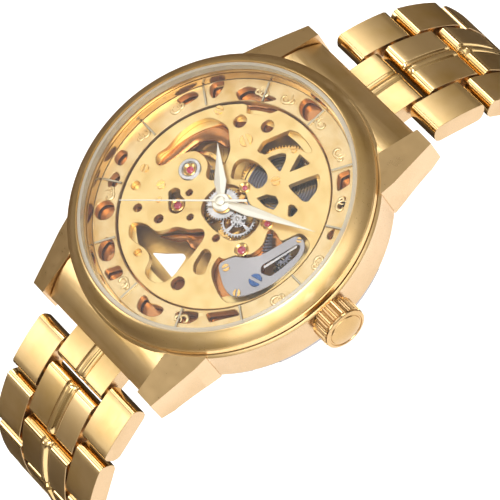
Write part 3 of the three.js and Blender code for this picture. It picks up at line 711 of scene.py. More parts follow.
# Openings over the barrel and between its bridge's spokes.
BARREL_WINDOWS = [
    rounded([(-0.8, 7.9), (2.0, 7.8), (1.3, 9.3), (0.7, 9.9), (0.0, 9.4)], 0.3),
    rounded([(2.0, 11.0), (4.1, 11.1), (3.5, 9.8), (2.95, 8.6)], 0.25),
    rounded([(4.2, 7.4), (5.2, 9.5), (6.0, 10.9), (6.7, 10.6), (7.6, 9.2), (7.9, 7.6), (7.3, 7.2),
            (4.8, 7.2)], 0.3),
    rounded([(6.3, 5.7), (6.9, 6.1), (7.8, 6.0), (7.9, 5.0), (7.5, 4.6)], 0.25),
    rounded([(2.4, 3.5), (3.0, 4.6), (4.2, 5.3), (5.1, 5.0), (5.4, 4.0), (4.2, 3.5)], 0.25),
    smooth([(-3.5, 4.9), (-2.7, 6.0), (-1.0, 6.6), (0.8, 6.5), (1.7, 5.7), (1.5, 4.4), (-0.6, 4.1),
            (-2.0, 3.1), (-2.8, 3.6)]),
    rounded([(-2.5, 7.6), (-3.0, 8.9), (-2.3, 10.6), (-1.5, 12.3), (-0.3, 12.8), (1.5, 12.7),
            (3.0, 12.4), (2.9, 11.9), (1.4, 11.4), (0.1, 10.5), (-0.9, 9.3), (-1.3, 8.0)], 0.35),
]
# The recess that the keyless cover lies in.
KEYLESS_POCKET = [(4.9, -5.0), (5.6, -6.6), (7.4, -7.6), (10.2, -8.1), (12.0, -6.4), (13.1, -4.2),
        (13.4, -1.0), (13.3, 2.0), (12.8, 3.7), (11.7, 4.3), (10.4, 4.1), (9.8, 2.8), (9.3, 1.9),
        (8.1, 2.1), (7.0, 1.8), (7.9, 0.0), (7.7, -1.9), (6.6, -3.0), (5.7, -4.6)]


def movement_plate():
    oval = smooth([(-6.9, -2.9), (-6.2, -2.5), (-5.4, -2.9), (-4.4, -3.0), (-3.7, -3.8), (-3.9, -4.8),
            (-4.8, -5.2), (-5.7, -4.7), (-6.4, -4.1), (-7.0, -3.6)])
    bean = smooth([(2.6, -5.6), (3.2, -5.2), (4.0, -5.4), (4.5, -6.2), (4.8, -6.8), (5.2, -7.5),
            (4.8, -8.1), (4.0, -8.3), (3.2, -7.6), (2.8, -6.6)])
    centre = smooth([(-2.8, 0.4), (-2.3, 1.7), (-1.0, 2.7), (0.9, 2.9), (2.2, 2.4), (4.4, 2.3),
            (5.5, 1.2), (5.7, -0.4), (5.2, -1.6), (3.9, -2.6), (1.8, -2.9), (0.4, -2.9), (-1.4, -2.6),
            (-2.5, -1.4)])
    outline = [polar(13.88, a) for a in range(-20, 322, 2)]
    outline += [(-8.4, 10.8), (-7.6, 10.1), (-7.2, 10.3), (-5.9, 11.2), (-5.1, 12.3)]
    loops = [outline, smooth(CLUB, 4), smooth(SEE_THROUGH, 4), oval, bean, centre,
             smooth(KEYLESS_POCKET, 4), *BARREL_WINDOWS]
    loops += [circle(c, r, 24) for c, r in PLATE_HOLES]
    piece("movement_plate", plate(loops, 2.85, PLATE_TOP, 0.07), plate_gold, "case",
          ["mainplate"])
    # Dark discs just under the round holes of the plate: painted shade in the holes.
    shade_discs = [domed_disc(c, r + 0.3, level(3.2), level(2.95), 0.0) for c, r in PLATE_HOLES]
    piece("hole_painted_shade", merged(*shade_discs), painted_shade_brown, "case")
    flange = [(13.5, 3.15), (13.5, 2.88), (11.9, 2.88), (11.9, 3.15)]
    piece("plate_flange", turned(flange, count=96), plate_gold, "case")


def slotted_screw(centre, radius, top, turn, height=0.5):
    """A cheese-head screw: two half moons on a disc, with the slot between them."""
    solids = [lathe([(0, top - height), (radius, top - height), (radius, top - 0.26), (0, top - 0.26)],
            centre, 24)]
    opening = 14.0
    for side in (0, 180):
        moon = [polar(radius, turn + side + opening + (180 - 2 * opening) * i / 12, centre)
                for i in range(13)]
        solids.append(sheet([moon], top - 0.28, top, 0.03))
    return merged(*solids)


def plate_fittings():
    screws = [((2.6, 6.6), 0.6, 30), ((-4.7, 7.6), 0.85, 110), ((-10.7, 7.9), 0.6, 70),
            ((-8.5, -3.7), 0.6, 15), ((-7.1, -5.2), 0.4, 80), ((6.0, 3.0), 0.5, 130),
            ((1.1, 10.9), 0.42, 40), ((-11.9, -3.7), 0.55, 150)]
    solids = [slotted_screw(c, r, level(PLATE_TOP - 0.16), turn) for c, r, turn in screws]
    piece("plate_screws", merged(*solids), gilt_brass, "case")
    stones, cups = [], []
    for centre, radius in [((-7.2, 0.15), 0.5), ((6.45, -2.3), 0.55), ((6.2, 2.2), 0.42),
            ((-4.6, -4.0), 0.5), ((0.2, 3.35), 0.36)]:
        stones.append(domed_disc(centre, radius, level(2.3), level(PLATE_TOP - 0.05), 0.08))
        cups.append(turned([(radius + 0.03, 2.4), (radius + 0.38, 2.4), (radius + 0.38, 1.72),
                           (radius + 0.28, 1.66), (radius + 0.03, 1.8)], centre, 32))
    piece("plate_jewels", merged(*stones), ruby, "case", sharp=60)
    piece("jewel_cups", merged(*cups), gilt_brass, "case")
    setting = turned([(0.62, 2.5), (1.5, 2.5), (1.5, 1.7), (1.4, 1.6), (1.05, 1.6),
                     (0.95, 1.72), (0.62, 1.78)], (-7.2, 0.15), 48)
    tab = plate([rounded([(-8.6, -1.0), (-5.9, -1.0), (-5.9, 1.2), (-8.6, 1.2)], 0.8)], 2.7, 2.2)
    piece("balance_setting", merged(setting, tab), bright_steel, "case")


# ---------------------------------------------------------------- hands
def faceted_hand(outline, ridge, bottom, top, degrees, hole):
    """A flat-backed hand whose top rises to a ridge along its middle."""
    points = [(x, y, bottom) for x, y in outline] + [(x * 0.9, y, bottom + (top - bottom) * 0.35)
            for x, y in outline]
    size = len(outline)
    faces = [tuple(range(size - 1, -1, -1))]
    faces += [(i, (i + 1) % size, size + (i + 1) % size, size + i) for i in range(size)]
    first = len(points)
    points += [(0, y, top) for y in ridge]
    tip, tail = first, first + 1
    for i in range(size):
        k = (i + 1) % size
        here, there = outline[i], outline[k]
        ends = [tip if p[1] > sum(ridge) / 2 else tail for p in (here, there)]
        if ends[0] == ends[1]:
            faces.append((size + i, size + k, ends[0]))
        else:
            faces.append((size + i, size + k, ends[1], ends[0]))
    hub = lathe([(hole, bottom), (1.15, bottom), (1.15, top - 0.05), (1.05, top + 0.02),
            (hole, top + 0.02)], (0, 0), 40)
    return moved(merged((points, faces), hub), Matrix.Rotation(-math.radians(degrees), 4, "Z"))


def hands():
    hour = faceted_hand([(0, 8.4), (-0.85, 3.0), (-0.42, 1.0), (0.42, 1.0), (0.85, 3.0)], (8.2, 1.2),
            level(1.1), level(0.96), 305.5, 0.85)
    piece("hour_hand_faceted", hour, hand_silver, "hour", ["hour_hand"], sharp=12)
    minute = faceted_hand([(0, 13.6), (-0.75, 4.0), (-0.4, 0.9), (0.4, 0.9), (0.75, 4.0)], (13.4, 1.1),
            level(0.76), level(0.63), 66, 0.4)
    piece("minute_hand_faceted", minute, hand_silver, "minute", ["minute_hand"], sharp=12)
    needle = [(-0.13, 0), (-0.06, 13.4), (0.06, 13.4), (0.13, 0), (0.17, -3.6), (-0.17, -3.6)]
    cap = domed_disc((0, 0), 0.62, level(0.5), level(0.3), 0.06)
    second = merged(plate([needle], 0.47, 0.35, 0.02), cap)
    piece("seconds_hand_needle", moved(second, Matrix.Rotation(-math.radians(229), 4, "Z")), hand_silver,
            "seconds", ["seconds_hand"])


# ---------------------------------------------------------------- wheels
def spoked_wheel(centre, tip, teeth, spokes, rim, hub, bottom, top, height=0.26):
    loops = [gear(centre, tip, teeth, height)]
    share = 360 / spokes
    for i in range(spokes):
        start = share * i + share * 0.09
        loops.append(sector(centre, hub, tip - rim, start, start + share * 0.82, 7))
    return sheet(loops, bottom, top, 0.025)


def arbor(centre, radius, bottom, top, teeth=0, tip=0.0, low=0.0, high=0.0):
    """An arbor with pivots, and its pinion between two heights."""
    pivot = radius * 0.55
    profile = [(0, bottom), (pivot, bottom), (pivot, bottom + 0.3), (radius, bottom + 0.35),
            (radius, top - 0.35), (pivot, top - 0.3), (pivot, top), (0, top)]
    solids = [lathe(profile, centre, 20)]
    if teeth:
        solids.append(sheet([gear(centre, tip, teeth, tip * 0.32)], low, high, 0.02))
    return merged(*solids)


def train():
    hour = plate([gear((0, 0), 2.2, 36, 0.22), circle((0, 0), 1.3, 32)], 1.6, 1.38, 0.03)
    piece("hour_wheel_ring", hour, bright_steel, "hour", ["hour_wheel"])
    collar = turned([(0.85, 1.62), (1.32, 1.62), (1.32, 1.3), (1.0, 1.2), (0.85, 1.2)])
    piece("hour_pipe", collar, gilt_brass, "hour")
    minute = merged(spoked_wheel(MINUTE, 2.35, 34, 4, 0.45, 1.0, level(1.82), level(1.66), 0.22),
                    plate([gear(MINUTE, 0.95, 10, 0.34)], 1.68, 1.25, 0.03),
                    domed_disc(MINUTE, 0.28, level(1.3), level(1.12), 0.04))
    piece("minute_wheel_toothed", minute, bright_steel, "motion_work", ["minute_wheel"])
    centre = merged(spoked_wheel((0, 0), 3.9, 72, 5, 0.55, 1.4, level(3.4), level(3.2)),
                    plate([gear((0, 0), 1.3, 14, 0.4), circle((0, 0), 0.4, 20)], 3.9, 3.4, 0.03),
                    turned([(0.4, 3.9), (0.65, 3.9), (0.65, 0.98), (0.4, 0.98)]))
    piece("centre_wheel_toothed", centre, gilt_brass, "minute", ["centre_wheel"])
    third = merged(spoked_wheel(THIRD, 3.35, 64, 5, 0.5, 0.8, level(4.7), level(4.5)),
                   arbor(THIRD, 0.22, level(5.6), level(2.2), 8, 0.5, level(4.5), level(3.05)))
    piece("third_wheel_toothed", third, gilt_brass, "third", ["third_wheel"])
    fourth = merged(spoked_wheel((0, 0), 3.8, 70, 5, 0.5, 1.2, level(5.5), level(5.3)),
                    arbor((0, 0), 0.2, level(5.7), level(0.55), 8, 0.8, level(5.3), level(4.4)))
    piece("fourth_wheel_toothed", fourth, gilt_brass, "seconds", ["fourth_wheel"])
    loops = [hooked(ESCAPE, 2.0, 15)] + [sector(ESCAPE, 0.55, 1.05, 72 * i + 8, 72 * i + 64, 5)
            for i in range(5)]
    escape = merged(plate(loops, 4.2, 4.0, 0.02),
                    arbor(ESCAPE, 0.2, level(5.6), level(3.05), 7, 0.42, level(5.6), level(4.3)))
    piece("escape_wheel_toothed", escape, bright_steel, "escape", ["escape_wheel"])


def barrel():
    drum = turned([(1.0, 3.85), (4.75, 3.85), (4.75, 5.1), (5.1, 5.1), (5.1, 3.9),
                  (5.2, 3.6), (1.0, 3.6)], BARREL, 64)
    rim = plate([gear(BARREL, 5.75, 84, 0.3), circle(BARREL, 5.0, 64)], 3.85, 3.6, 0.03)
    piece("barrel_toothed", merged(drum, rim), gilt_brass, "barrel", ["barrel"])
    rings = []
    for i in range(9):
        radius = 1.3 + i * 0.38
        rings.append(turned([(radius, 3.62), (radius + 0.34, 3.62), (radius + 0.31, 3.5),
                            (radius + 0.24, 3.42), (radius + 0.1, 3.42), (radius + 0.03, 3.5)],
                           BARREL, 56))
    piece("barrel_lid", merged(*rings), dark_steel, "barrel")
    coil = spiral(BARREL, 1.3, 0.4, 8, 0.16)
    piece("mainspring_coil", plate([coil], 4.9, 4.0, 0.02), dark_steel, "barrel",
          ["mainspring"])
    ratchet = merged(plate([gear(BARREL, 4.1, 60, 0.3)], 7.05, 6.8, 0.04),
                     turned([(0, 6.9), (0.7, 6.9), (0.7, 3.1), (0, 3.1)], BARREL, 24))
    piece("ratchet_wheel_toothed", ratchet, bright_steel, "ratchet", ["ratchet_wheel"])


def spiral(centre, inner, pitch, turns, width, per_turn=40):
    """The outline of a flat coiled ribbon."""
    count = int(turns * per_turn)
    sides = [[polar(inner + pitch * i / per_turn + w, 360 * i / per_turn, centre)
            for i in range(count + 1)] for w in (0, width)]
    return sides[0] + sides[1][::-1]


def escapement():
    rim = plate([circle(BALANCE, 3.95, 72), sector(BALANCE, 0.9, 3.35, 98, 262, 18),
                 sector(BALANCE, 0.9, 3.35, -82, 82, 18)], 5.0, 4.6, 0.06)
    solids = [rim, arbor(BALANCE, 0.25, level(5.7), level(2.95)),
              turned([(0, 5.15), (0.6, 5.15), (0.6, 4.5), (0, 4.5)], BALANCE, 24)]
    for i in range(10):
        solids.append(domed_disc(polar(3.6, 36 * i + 18, BALANCE), 0.2, level(4.62), level(4.5), 0.03,
                0.04))
    piece("balance_rim", merged(*solids), gilt_brass, "balance", ["balance_wheel"])
    piece("hairspring_coil", plate([spiral(BALANCE, 0.65, 0.26, 7, 0.06)], 5.45, 5.25, 0.01), blued_steel,
          "case", ["hairspring"])
    along = math.atan2(BALANCE[1] - PALLET[1], BALANCE[0] - PALLET[0])
    lever = plate([[(-0.7, -0.6), (-0.35, -0.6), (-0.2, -0.25), (0, -0.25), (2.0, -0.14), (2.3, -0.35),
            (2.5, -0.35), (2.4, 0), (2.5, 0.35), (2.3, 0.35), (2.0, 0.14), (0, 0.25), (-0.2, 0.25),
            (-0.35, 0.6), (-0.7, 0.6), (-0.55, 0)][::-1]], 4.2, 4.0, 0.02)
    lever = moved(lever, Matrix.Translation((*PALLET, 0)) @ Matrix.Rotation(along, 4, "Z"))
    fork = merged(lever, arbor(PALLET, 0.2, level(5.6), level(3.05)))
    piece("pallet_lever", fork, bright_steel, "pallet", ["pallet_fork"])


# ---------------------------------------------------------------- keyless work
def keyless():
    cover = rounded([(5.7, -5.6), (8.8, -7.1), (10.6, -7.25), (11.8, -6.0), (12.8, -3.9), (13.3, -2.3),
            (13.5, 0), (13.3, 1.9), (12.8, 3.3), (11.6, 4.0), (10.5, 3.7), (10.1, 2.4), (9.6, 0.6),
            (9.1, -1.2), (7.8, -2.8), (6.6, -3.4)], 0.9)
    slot = rounded([(10.2, -1.9), (10.9, -2.6), (12.2, -2.1), (12.5, -0.5), (12.6, 2.0), (12.1, 3.1),
            (11.5, 3.0), (10.9, 0.7)], 0.35)
    piece("keyless_cover_plate", plate([cover, slot], 1.75, 1.5, 0.05), lavender_steel, "case",
          ["keyless_cover"])
    spring = rounded([(10.45, -1.8), (10.75, -1.95), (11.75, 2.7), (11.55, 2.9)], 0.1)
    piece("clutch_spring", plate([spring], 1.72, 1.6, 0.02), bright_steel, "case")
    piece("blued_screw", slotted_screw((11.2, -3.7), 0.85, level(1.36), 75, 0.3), blued_steel, "case")
    gilt = merged(slotted_screw((7.0, -5.2), 0.5, level(1.36), 20),
            slotted_screw((10.7, -6.4), 0.5, level(1.36), 140),
            slotted_screw((11.3, 3.5), 0.35, level(1.36), 60))
    piece("cover_screws", gilt, gilt_brass, "case")
    axis = level(STEM_DEPTH)
    clutch = merged(laid_along_x(sheet([gear((0, 0), 1.3, 14, 0.4), circle((0, 0), 0.55, 20)], 0, 1.1,
            0.03), 10.6, 0, axis), laid_along_x(lathe([(0.55, 0), (0.8, 0), (0.8, 1.0), (0.55, 1.0)],
            (0, 0), 28), 11.65, 0, axis), laid_along_x(sheet([gear((0, 0), 1.3, 16, 0.4),
            circle((0, 0), 0.55, 20)], 0, 0.65, 0.03), 12.65, 0, axis))
    piece("clutch_toothed", clutch, bright_steel, "clutch", ["sliding_pinion"])
    pinion = laid_along_x(sheet([gear((0, 0), 1.0, 12, 0.3), circle((0, 0), 0.55, 20)], 0, 1.4, 0.03),
            13.6, 0, axis)
    piece("winding_pinion_toothed", pinion, bright_steel, "winding_pinion", ["winding_pinion"])
    middle = (11.2, 0.6)
    wheel = plate([gear(middle, 1.15, 14, 0.3), circle(middle, 0.4, 16)], 2.3, 1.9, 0.03)
    rack = []
    for i in range(9):
        x, y = 7.3 + 0.3 * i, 1.3 - 0.28 * i
        tooth = rounded([(x - 0.5, y - 0.38), (x - 0.35, y - 0.5), (x + 0.5, y + 0.38),
                (x + 0.35, y + 0.5)], 0.05)
        rack.append(plate([tooth], 2.5, 2.05, 0.03))
    piece("setting_teeth", merged(wheel, *rack), dark_steel, "case")
    floor = plate([smooth([(4.6, -5.0), (5.6, -7.0), (7.4, -8.0), (10.4, -8.4), (12.3, -6.6),
            (13.4, -4.2), (9.9, -1.8), (9.4, 1.9), (7.4, 2.2), (6.9, 0.6), (7.3, -1.9), (5.9, -3.4)], 4)],
            3.1, 2.9)
    piece("keyless_floor", floor, amber_gold, "case")


# ---------------------------------------------------------------- crown
def crown():
    outline = toothed((0, 0), 28, ((0.0, 2.66), (0.2, 2.72), (0.36, 2.93), (0.64, 2.93), (0.8, 2.72)))
    knob = sheet([outline, circle((0, 0), 1.65, 40)], 0.0, 2.55, 0.14)
    collar = lathe([(1.66, 0.05), (2.35, -0.18), (2.5, 0.0), (2.5, 0.4), (1.66, 0.4)], (0, 0), 64)
    cap = lathe([(0, 0.9), (2.4, 0.9), (2.6, 2.5), (2.84, 2.6), (2.84, 2.8), (2.67, 2.92), (2.42, 2.94),
            (2.37, 2.84), (2.2, 2.84), (2.12, 2.96), (1.5, 3.14), (0.75, 3.24), (0, 3.25)], (0, 0), 72)
    base = 20.65
    axis = level(STEM_DEPTH)
    piece("crown_knurled", laid_along_x(merged(knob, collar, cap), base, 0, axis), crown_gold_painted_shade, "crown",
          ["crown"])
    pipe = laid_along_x(lathe([(0.75, 0), (1.3, 0), (1.3, 5.2), (1.1, 5.4), (0.75, 5.4)], (0, 0), 32),
            16.2, 0, axis)
    piece("crown_pipe", pipe, bright_steel, "case", ["crown_tube"])
    stem = merged(rod(0.45, 9.2, 16.0, 0, axis), rod(0.55, 16.0, 17.0, 0, axis),
                  rod(0.45, 17.0, 21.5, 0, axis))
    piece("stem_turned", stem, bright_steel, "crown", ["winding_stem"])


# ---------------------------------------------------------------- back
def back():
    ring = [(19.7, 7.5), (19.7, 8.45), (19.45, 8.7), (18.9, 8.8), (15.2, 8.8),
            (14.6, 8.55), (14.6, 7.6), (14.1, 7.6), (14.1, 7.2), (17.8, 7.2),
            (17.8, 7.5)]
    notches = []
    for i in range(6):
        notch = plate([sector((0, 0), 17.3, 20.2, 60 * i - 5, 60 * i + 5, 4)], 9.2, 8.3, 0.01)
        notches.append(("DIFFERENCE", notch))
    piece("back_ring", carved(turned(ring, count=144), notches), lavender_steel, "case",
            ["caseback_ring"], bevel=0.05, sharp=30)
    glass = [(0, 7.9), (14.25, 7.9), (14.3, 8.0), (14.3, 8.6), (14.15, 8.7), (0, 8.7)]
    piece("back_glass", turned(glass, count=96), sapphire, "case", ["caseback_crystal"])


def bridges():
    edge = [(-2.2, -5.5)] + [polar(13.4, 158 - 190 * i / 30) for i in range(31)] + [(-2.2, 1.6)]
    windows = [circle(BARREL, 0.95, 24), sector(BARREL, 2.0, 4.4, 200, 330, 10),
            sector(BARREL, 2.0, 4.4, 20, 160, 12), rounded(sector((0, 0), 5.6, 11.6, 92, 118, 5), 0.3),
            rounded(sector((0, 0), 5.6, 11.6, 128, 150, 5), 0.3)]
    bridge = merged(plate([edge, *windows], BRIDGE_LOW, BRIDGE_TOP, 0.08),
                    *[turned([(0, 5.9), (0.8, 5.9), (0.8, 3.5), (0, 3.5)],
                            polar(12.2, a), 20) for a in (-24, 75, 152)])
    piece("barrel_bridge_finished", bridge, plate_gold, "case", ["barrel_bridge"])
    cock_edge = smooth([(-13, -4.2), (-10.6, -2.8), (-8.4, -1.4), (-6.6, -1.1), (-6.1, 0), (-6.6, 1.1),
            (-8.4, 1.4), (-10.6, 2.8), (-13, 4.2), (-13.4, 0)], 5)
    cock = merged(plate([cock_edge], BRIDGE_LOW, BRIDGE_TOP, 0.08),
                  turned([(0, 5.9), (0.7, 5.9), (0.7, 3.5), (0, 3.5)], (-12.6, 0), 20))
    piece("balance_cock_finished", cock, plate_gold, "case", ["balance_cock"])
    flip = Matrix.Diagonal((1, 1, -1, 1))
    screws, stones = [], []
    for centre, radius, turn in ((polar(12.2, -24), 0.7, 30), (polar(12.2, 75), 0.7, 80),
            (polar(12.2, 152), 0.7, 140), ((-12.2, 2.4), 0.6, 20), ((-12.2, -2.4), 0.6, 100)):
        screws.append(moved(slotted_screw(centre, radius, -level(BRIDGE_LOW + 0.22), turn), flip))
    for centre in (THIRD, (0, 0), ESCAPE, (BALANCE[0] + 0.2, 0)):
        stones.append(moved(domed_disc(centre, 0.45, -level(BRIDGE_LOW - 0.2), -level(BRIDGE_LOW + 0.05),
                0.05), flip))
    piece("bridge_screws", merged(*screws), blued_steel, "case")
    piece("bridge_jewels", merged(*stones), ruby, "case", sharp=60)


# ---------------------------------------------------------------- bracelet
def link_profile(before, after, pitch):
    """Side profile of a link from its first pin, with a crowned top and polished, rounded ends."""
    start, end = -before, pitch + after
    middle, reach = (start + end) / 2, (end - start) / 2
    crown_drop = 0.28
    top = []
    for i in range(9):
        y = end - 0.55 - (end - start - 1.1) * i / 8
        top.append((y, LINK_HALF - crown_drop * ((y - middle) / reach) ** 2))
    edge = top[0][1]
    near = [(start + 0.22, edge - 0.22), (start + 0.02, edge - 0.62), (start, 0.0), (start + 0.1, -0.7),
            (start + 0.4, -1.15), (start + 0.9, -LINK_HALF)]
    far = [(end - 0.9, -LINK_HALF), (end - 0.4, -1.15), (end - 0.1, -0.7), (end, 0.0),
            (end - 0.02, edge - 0.62), (end - 0.22, edge - 0.22)]
    return top + near + far


def rib(x, y, z):
    """The ridge and the groove beside it along the middle of a centre link."""
    if z < 0.35:
        return 0.0
    ridge = 0.26 * max(0.0, math.cos(math.pi * (x - 0.15) / 1.3)) if abs(x - 0.15) < 0.65 else 0.0
    groove = 0.22 * max(0.0, math.cos(math.pi * (x + 0.75) / 0.7)) if abs(x + 0.75) < 0.35 else 0.0
    return (ridge - groove) * min(1.0, (z - 0.35) / 0.5)


def slab(before, after, pitch, start, end, ribbed=False):
    if ribbed:
        stations = [start] + [-1.2 + 0.1 * i for i in range(22)] + [end]
        return prism(link_profile(before, after, pitch), stations, rib)
    return prism(link_profile(before, after, pitch), [start, end])


def link_solids(index):
    """The solids of one bracelet row's piece in its own frame, and its pitch."""
    if index == 0:
        bar = merged(rod(0.75, -10.2, 10.2, 0, 0), rod(0.4, -11.2, 11.2, 0, 0, 0.15))
        return merged(slab(1.9, 1.3, CENTRE_PITCH, -CENTRE_HALF, CENTRE_HALF, True), bar), CENTRE_PITCH
    if index % 2 == 0:
        return slab(2.3, 1.3, CENTRE_PITCH, -CENTRE_HALF, CENTRE_HALF, True), CENTRE_PITCH
    pins = merged(*[rod(PIN_R, -9.3, 9.3, y, 0) for y in (0, OUTER_PITCH)])
    return merged(slab(1.3, 2.3, OUTER_PITCH, OUTER_START, BAND_HALF), slab(1.3, 2.3, OUTER_PITCH,
            -BAND_HALF, -OUTER_START), pins), OUTER_PITCH


def bracelet(side, label):
    y, z = SPRING_BAR
    for index, degrees in enumerate(LINK_ANGLES):
        solid, pitch = link_solids(index)
        angle = math.radians(degrees)
        turn = Matrix.Translation((0, y, z)) @ Matrix.Rotation(-angle, 4, "X")
        if side < 0:
            turn = Matrix.Rotation(math.pi, 4, "Z") @ turn
        up = (turn.to_3x3() @ Vector((0, 0, 1))).normalized()

        def finish(centre, normal, up=up):
            return 0 if normal.dot(up) > 0.9 or normal.dot(up) < -0.9 else (2 if abs(normal.x) > 0.9 else 1)
        kind = "centre_link" if index % 2 == 0 else "outer_links"
        node = f"{kind}_{label}_{(index + 1) // 2}"
        piece(node + "_finished", moved(solid, turn), [satin_gold, polished_gold, side_gold_painted_shade], node,
                [node], bevel=0.12, sharp=38,
                pick=finish)
        y += pitch * math.cos(angle)
        z -= pitch * math.sin(angle)
    return y, z


# ---------------------------------------------------------------- clasp
END_PIN = (23.8, 3.4)    # the clasp's pieces are drawn lying along y, outer face down, as (y, z)
FOLD_PIN = (-18.0, 2.0)
BUTTON = (9.0, 2.7)
BLADE_HALF = 7.4
TONGUE_HALF = 4.2
EYE_R = 1.3


def hung(solid, side, last):
    """Stands a lying clasp piece up and hangs it by its end pin on the bracelet's last pin."""
    place = Matrix.Translation((0, side * last[0], last[1])) @ Matrix.Rotation(side * math.pi / 2, 4, "X")
    return moved(solid, place @ Matrix.Translation((0, -side * END_PIN[0], -END_PIN[1])))


def oblong(x, y_start, y_end, corner):
    return rounded([(-x, y_start), (x, y_start), (x, y_end), (-x, y_end)], corner)


def clasp(last):
    floor = sheet([oblong(BAND_HALF, -20.5, 20.5, 1.2)], 0, 1.2, 0.15)
    walls = [prism([(-20.3, 0.9), (20.3, 0.9), (20.3, 3.4), (19.8, 3.9), (-19.8, 3.9), (-20.3, 3.4)],
            stations) for stations in ([1.2 - BAND_HALF, -BAND_HALF], [BAND_HALF - 1.2, BAND_HALF])]
    tongue = prism([(18.5, 0.05), (21, 0.4), (24.4, 2.3), (23.8, 4.5), (22, 4), (18.5, 1.6)],
                   [-TONGUE_HALF, TONGUE_HALF])
    steps = [("UNION", wall) for wall in walls] + [("UNION", tongue)]
    steps.append(("UNION", rod(EYE_R, -TONGUE_HALF, TONGUE_HALF, *END_PIN)))
    steps += [("DIFFERENCE", rod(0.72, -6, 6, *END_PIN)), ("DIFFERENCE", rod(1.1, -12, 12, *BUTTON)),
              ("DIFFERENCE", rod(0.62, -9.5, 9.5, *FOLD_PIN))]
    piece("clasp_cover_finished", hung(carved(floor, steps), 1, last), [satin_gold, side_gold_painted_shade],
            "clasp_cover", ["clasp_cover"], bevel=0.12, sharp=30, pick=lambda centre,
            normal: 1 if abs(normal.x) > 0.9 else 0)
    blade = merged(sheet([oblong(BLADE_HALF, -17.8, 13, 0.4), oblong(4.5, -13, 8, 2.0)], 1.6, 2.4, 0.08),
            rod(0.5, -9.3, 9.3, *FOLD_PIN), prism([(12.1, 2.3), (12.9, 2.3), (12.7, 3.4), (12.3, 3.4)],
            [-BLADE_HALF + 0.1, BLADE_HALF - 0.1]))
    piece("folding_blade_finished", hung(blade, 1, last), polished_gold, "folding_blade",
          ["folding_blade"])
    rungs = [oblong(4.5, start, start + 4.5, 0.7) for start in (-14, -7, 0, 7)]
    eye = (-END_PIN[0], END_PIN[1])
    ring = laid_along_x(lathe([(0.72, 0), (EYE_R, 0), (EYE_R, 2 * TONGUE_HALF), (0.72, 2 * TONGUE_HALF)],
            count=32), -TONGUE_HALF, *eye)
    latch = merged(sheet([oblong(BLADE_HALF, -19.8, 20.5, 0.6), *rungs], 3.0, 3.8, 0.08), ring,
            prism([(-22.7, 3.0), (-19.5, 3.0), (-19.5, 3.8), (-22.7, 3.8)], [-TONGUE_HALF, TONGUE_HALF]),
            prism([(18.9, 2.4), (20.5, 2.4), (20.5, 4.4), (18.9, 4.4)],
            [-BLADE_HALF + 0.1, BLADE_HALF - 0.1]))
    piece("latch_plate_finished", hung(latch, -1, last), polished_gold, "latch_plate",
          ["latch_plate"])
    for name, start in (("right", 8.5), ("left", -10.6)):
        button = hung(rod(0.95, start, start + 2.1, *BUTTON, 0.25, 40), 1, last)
        piece(f"push_button_{name}_finished", button, polished_gold, f"button_{name}",
              [f"push_button_{name}"])


# ---------------------------------------------------------------- studio
def staged(name, solid, height):
    """A mesh of the studio at a height in metres, with its own material."""
    mesh = to_mesh(name, solid, MM)
    made = bpy.data.objects.new("studio_" + name, mesh)
    made.location.z = height
    bpy.context.scene.collection.objects.link(made)
    material, tree, shader = shader_tree(name)
    shader.inputs["Roughness"].default_value = 0.9
    mesh.materials.append(material)
    return made, tree, shader


def floor():
    """A wide, pale light table under the watch."""
    disc = lathe([(0, -4), (1500, -4), (1500, 0), (0, 0)], count=64)
    _, tree, shader = staged("floor", disc, FLOOR)
    fibre = node(tree, "TexNoise", {"Scale": 40})
    tone = node(tree, "MapRange", {"To Min": 0.93, "To Max": 0.96}, {"Value": fibre.outputs["Fac"]})
    tree.links.new(tone.outputs["Result"], shader.inputs["Base Color"])
    shader.inputs["Emission Color"].default_value = (1, 1, 1, 1)
    shader.inputs["Emission Strength"].default_value = 0.35


def flag(name, start, end, colour):
    """A dark card lying on the floor from one x to another, seen only in reflections."""
    corners = [(start, -700, 0), (end, -700, 0), (end, 700, 0), (start, 700, 0)]
    card, _, shader = staged(name, (corners, [(0, 1, 2, 3)]), FLOOR + 2 * MM)
    shader.inputs["Base Color"].default_value = (*colour, 1)
    card.visible_camera = False
    card.visible_diffuse = False
    card.visible_shadow = False
    card.visible_transmission = False


def softbox(name, azimuth, elevation, distance, width, height, brightness):
    """A rectangular soft light aimed at the watch. Azimuth is from +X towards +Y; sizes in metres."""
    data = bpy.data.lights.new(name, "AREA")
    data.shape = "RECTANGLE"
    data.size = width
    data.size_y = height
    data.energy = brightness * math.pi * width * height
    lamp = bpy.data.objects.new(name, data)
    bpy.context.scene.collection.objects.link(lamp)
    a, e = math.radians(azimuth), math.radians(elevation)
    away = Vector((math.cos(a) * math.cos(e), math.sin(a) * math.cos(e), math.sin(e)))
    lamp.location = Vector((0, 0, HEAD_Z * MM)) + away * distance
    lamp.rotation_euler = away.to_track_quat("Z", "Y").to_euler()


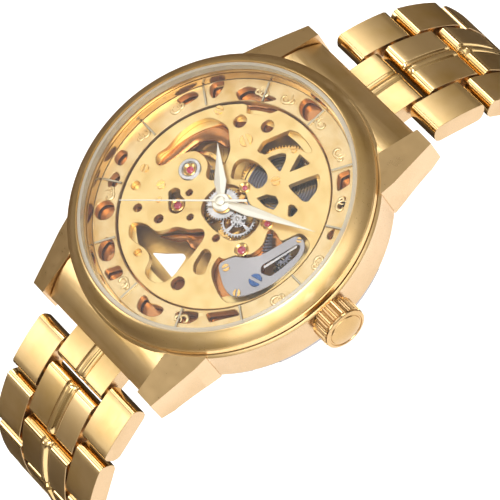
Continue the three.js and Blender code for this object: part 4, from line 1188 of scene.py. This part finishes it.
def sky():
    """A tent that is dark near the horizon and pale above, with soft folds."""
    world = bpy.data.worlds.new("tent")
    bpy.context.scene.world = world
    world.use_nodes = True
    tree = world.node_tree
    place = node(tree, "TexCoord").outputs["Generated"]
    split = node(tree, "SeparateXYZ", {}, {"Vector": place})
    folds = node(tree, "TexNoise", {"Scale": 1.7, "Detail": 1.0}, {"Vector": place})
    sway = node(tree, "MapRange", {"From Min": 0.3, "From Max": 0.7, "To Min": -0.3, "To Max": 0.3},
                {"Value": folds.outputs["Fac"]})
    height = node(tree, "Math", {}, {0: split.outputs["Z"], 1: sway.outputs["Result"]})
    ramp = node(tree, "ValToRGB", {}, {"Fac": height.outputs["Value"]})
    stops = ((0.0, (0.09, 0.06, 0.035)), (0.20, (0.17, 0.13, 0.085)), (0.45, (0.30, 0.26, 0.20)),
             (0.75, (0.46, 0.43, 0.38)), (1.0, (0.62, 0.60, 0.56)))
    elements = ramp.color_ramp.elements
    while len(elements) < len(stops):
        elements.new(0.5)
    for element, (position, colour) in zip(elements, stops):
        element.position = position
        element.color = (*colour, 1)
    background = tree.nodes["Background"]
    tree.links.new(ramp.outputs["Color"], background.inputs["Color"])
    background.inputs["Strength"].default_value = 1.0


def camera():
    """The photograph's viewing angle: a long lens, with the head leaning in the picture."""
    elevation, azimuth, roll = (math.radians(a) for a in (57.907, -4.733, -39.132))
    distance = 0.63476
    target = Vector((8.44, -1.66, HEAD_Z)) * MM
    back = Vector((math.cos(azimuth) * math.cos(elevation), math.sin(azimuth) * math.cos(elevation),
                   math.sin(elevation)))
    level_right = Vector((0, 0, 1)).cross(back).normalized()
    level_up = back.cross(level_right)
    right = level_right * math.cos(roll) + level_up * math.sin(roll)
    up = back.cross(right)
    data = bpy.data.cameras.new("camera")
    data.sensor_width = 36.0
    data.lens = 376.5
    data.clip_start = 0.01
    seen = bpy.data.objects.new("camera", data)
    bpy.context.scene.collection.objects.link(seen)
    turn = Matrix((right, up, back)).transposed().to_4x4()
    seen.matrix_world = Matrix.Translation(target + back * distance) @ turn
    bpy.context.scene.camera = seen


camera()
floor()
sky()
flag("near_flag", -130, -6, (0.03, 0.018, 0.01))
flag("far_flag", -700, -130, (0.12, 0.085, 0.055))
softbox("front", -5, 44, 1.0, 1.7, 0.5, 1.55)
softbox("overhead", -5, 74, 1.0, 0.5, 0.6, 6.5)
softbox("plate_light", 175, 60, 1.0, 0.5, 0.4, 1.2)
softbox("strip_twelve", 133, 40, 1.0, 0.28, 0.26, 4.6)
softbox("strip_six", 230, 36, 1.0, 0.42, 0.36, 3.4)
bpy.context.scene.view_settings.view_transform = "Standard"

case_body()
bezel()
crystal()
rehaut()
chapter_ring()
lower_plate()
amber_painted_reflections()
ring_ornaments()
batons()
movement_plate()
plate_fittings()
hands()
train()
barrel()
escapement()
keyless()
crown()
back()
bridges()
bracelet(1, "12")
LAST_PIN = bracelet(-1, "6")
clasp(LAST_PIN)
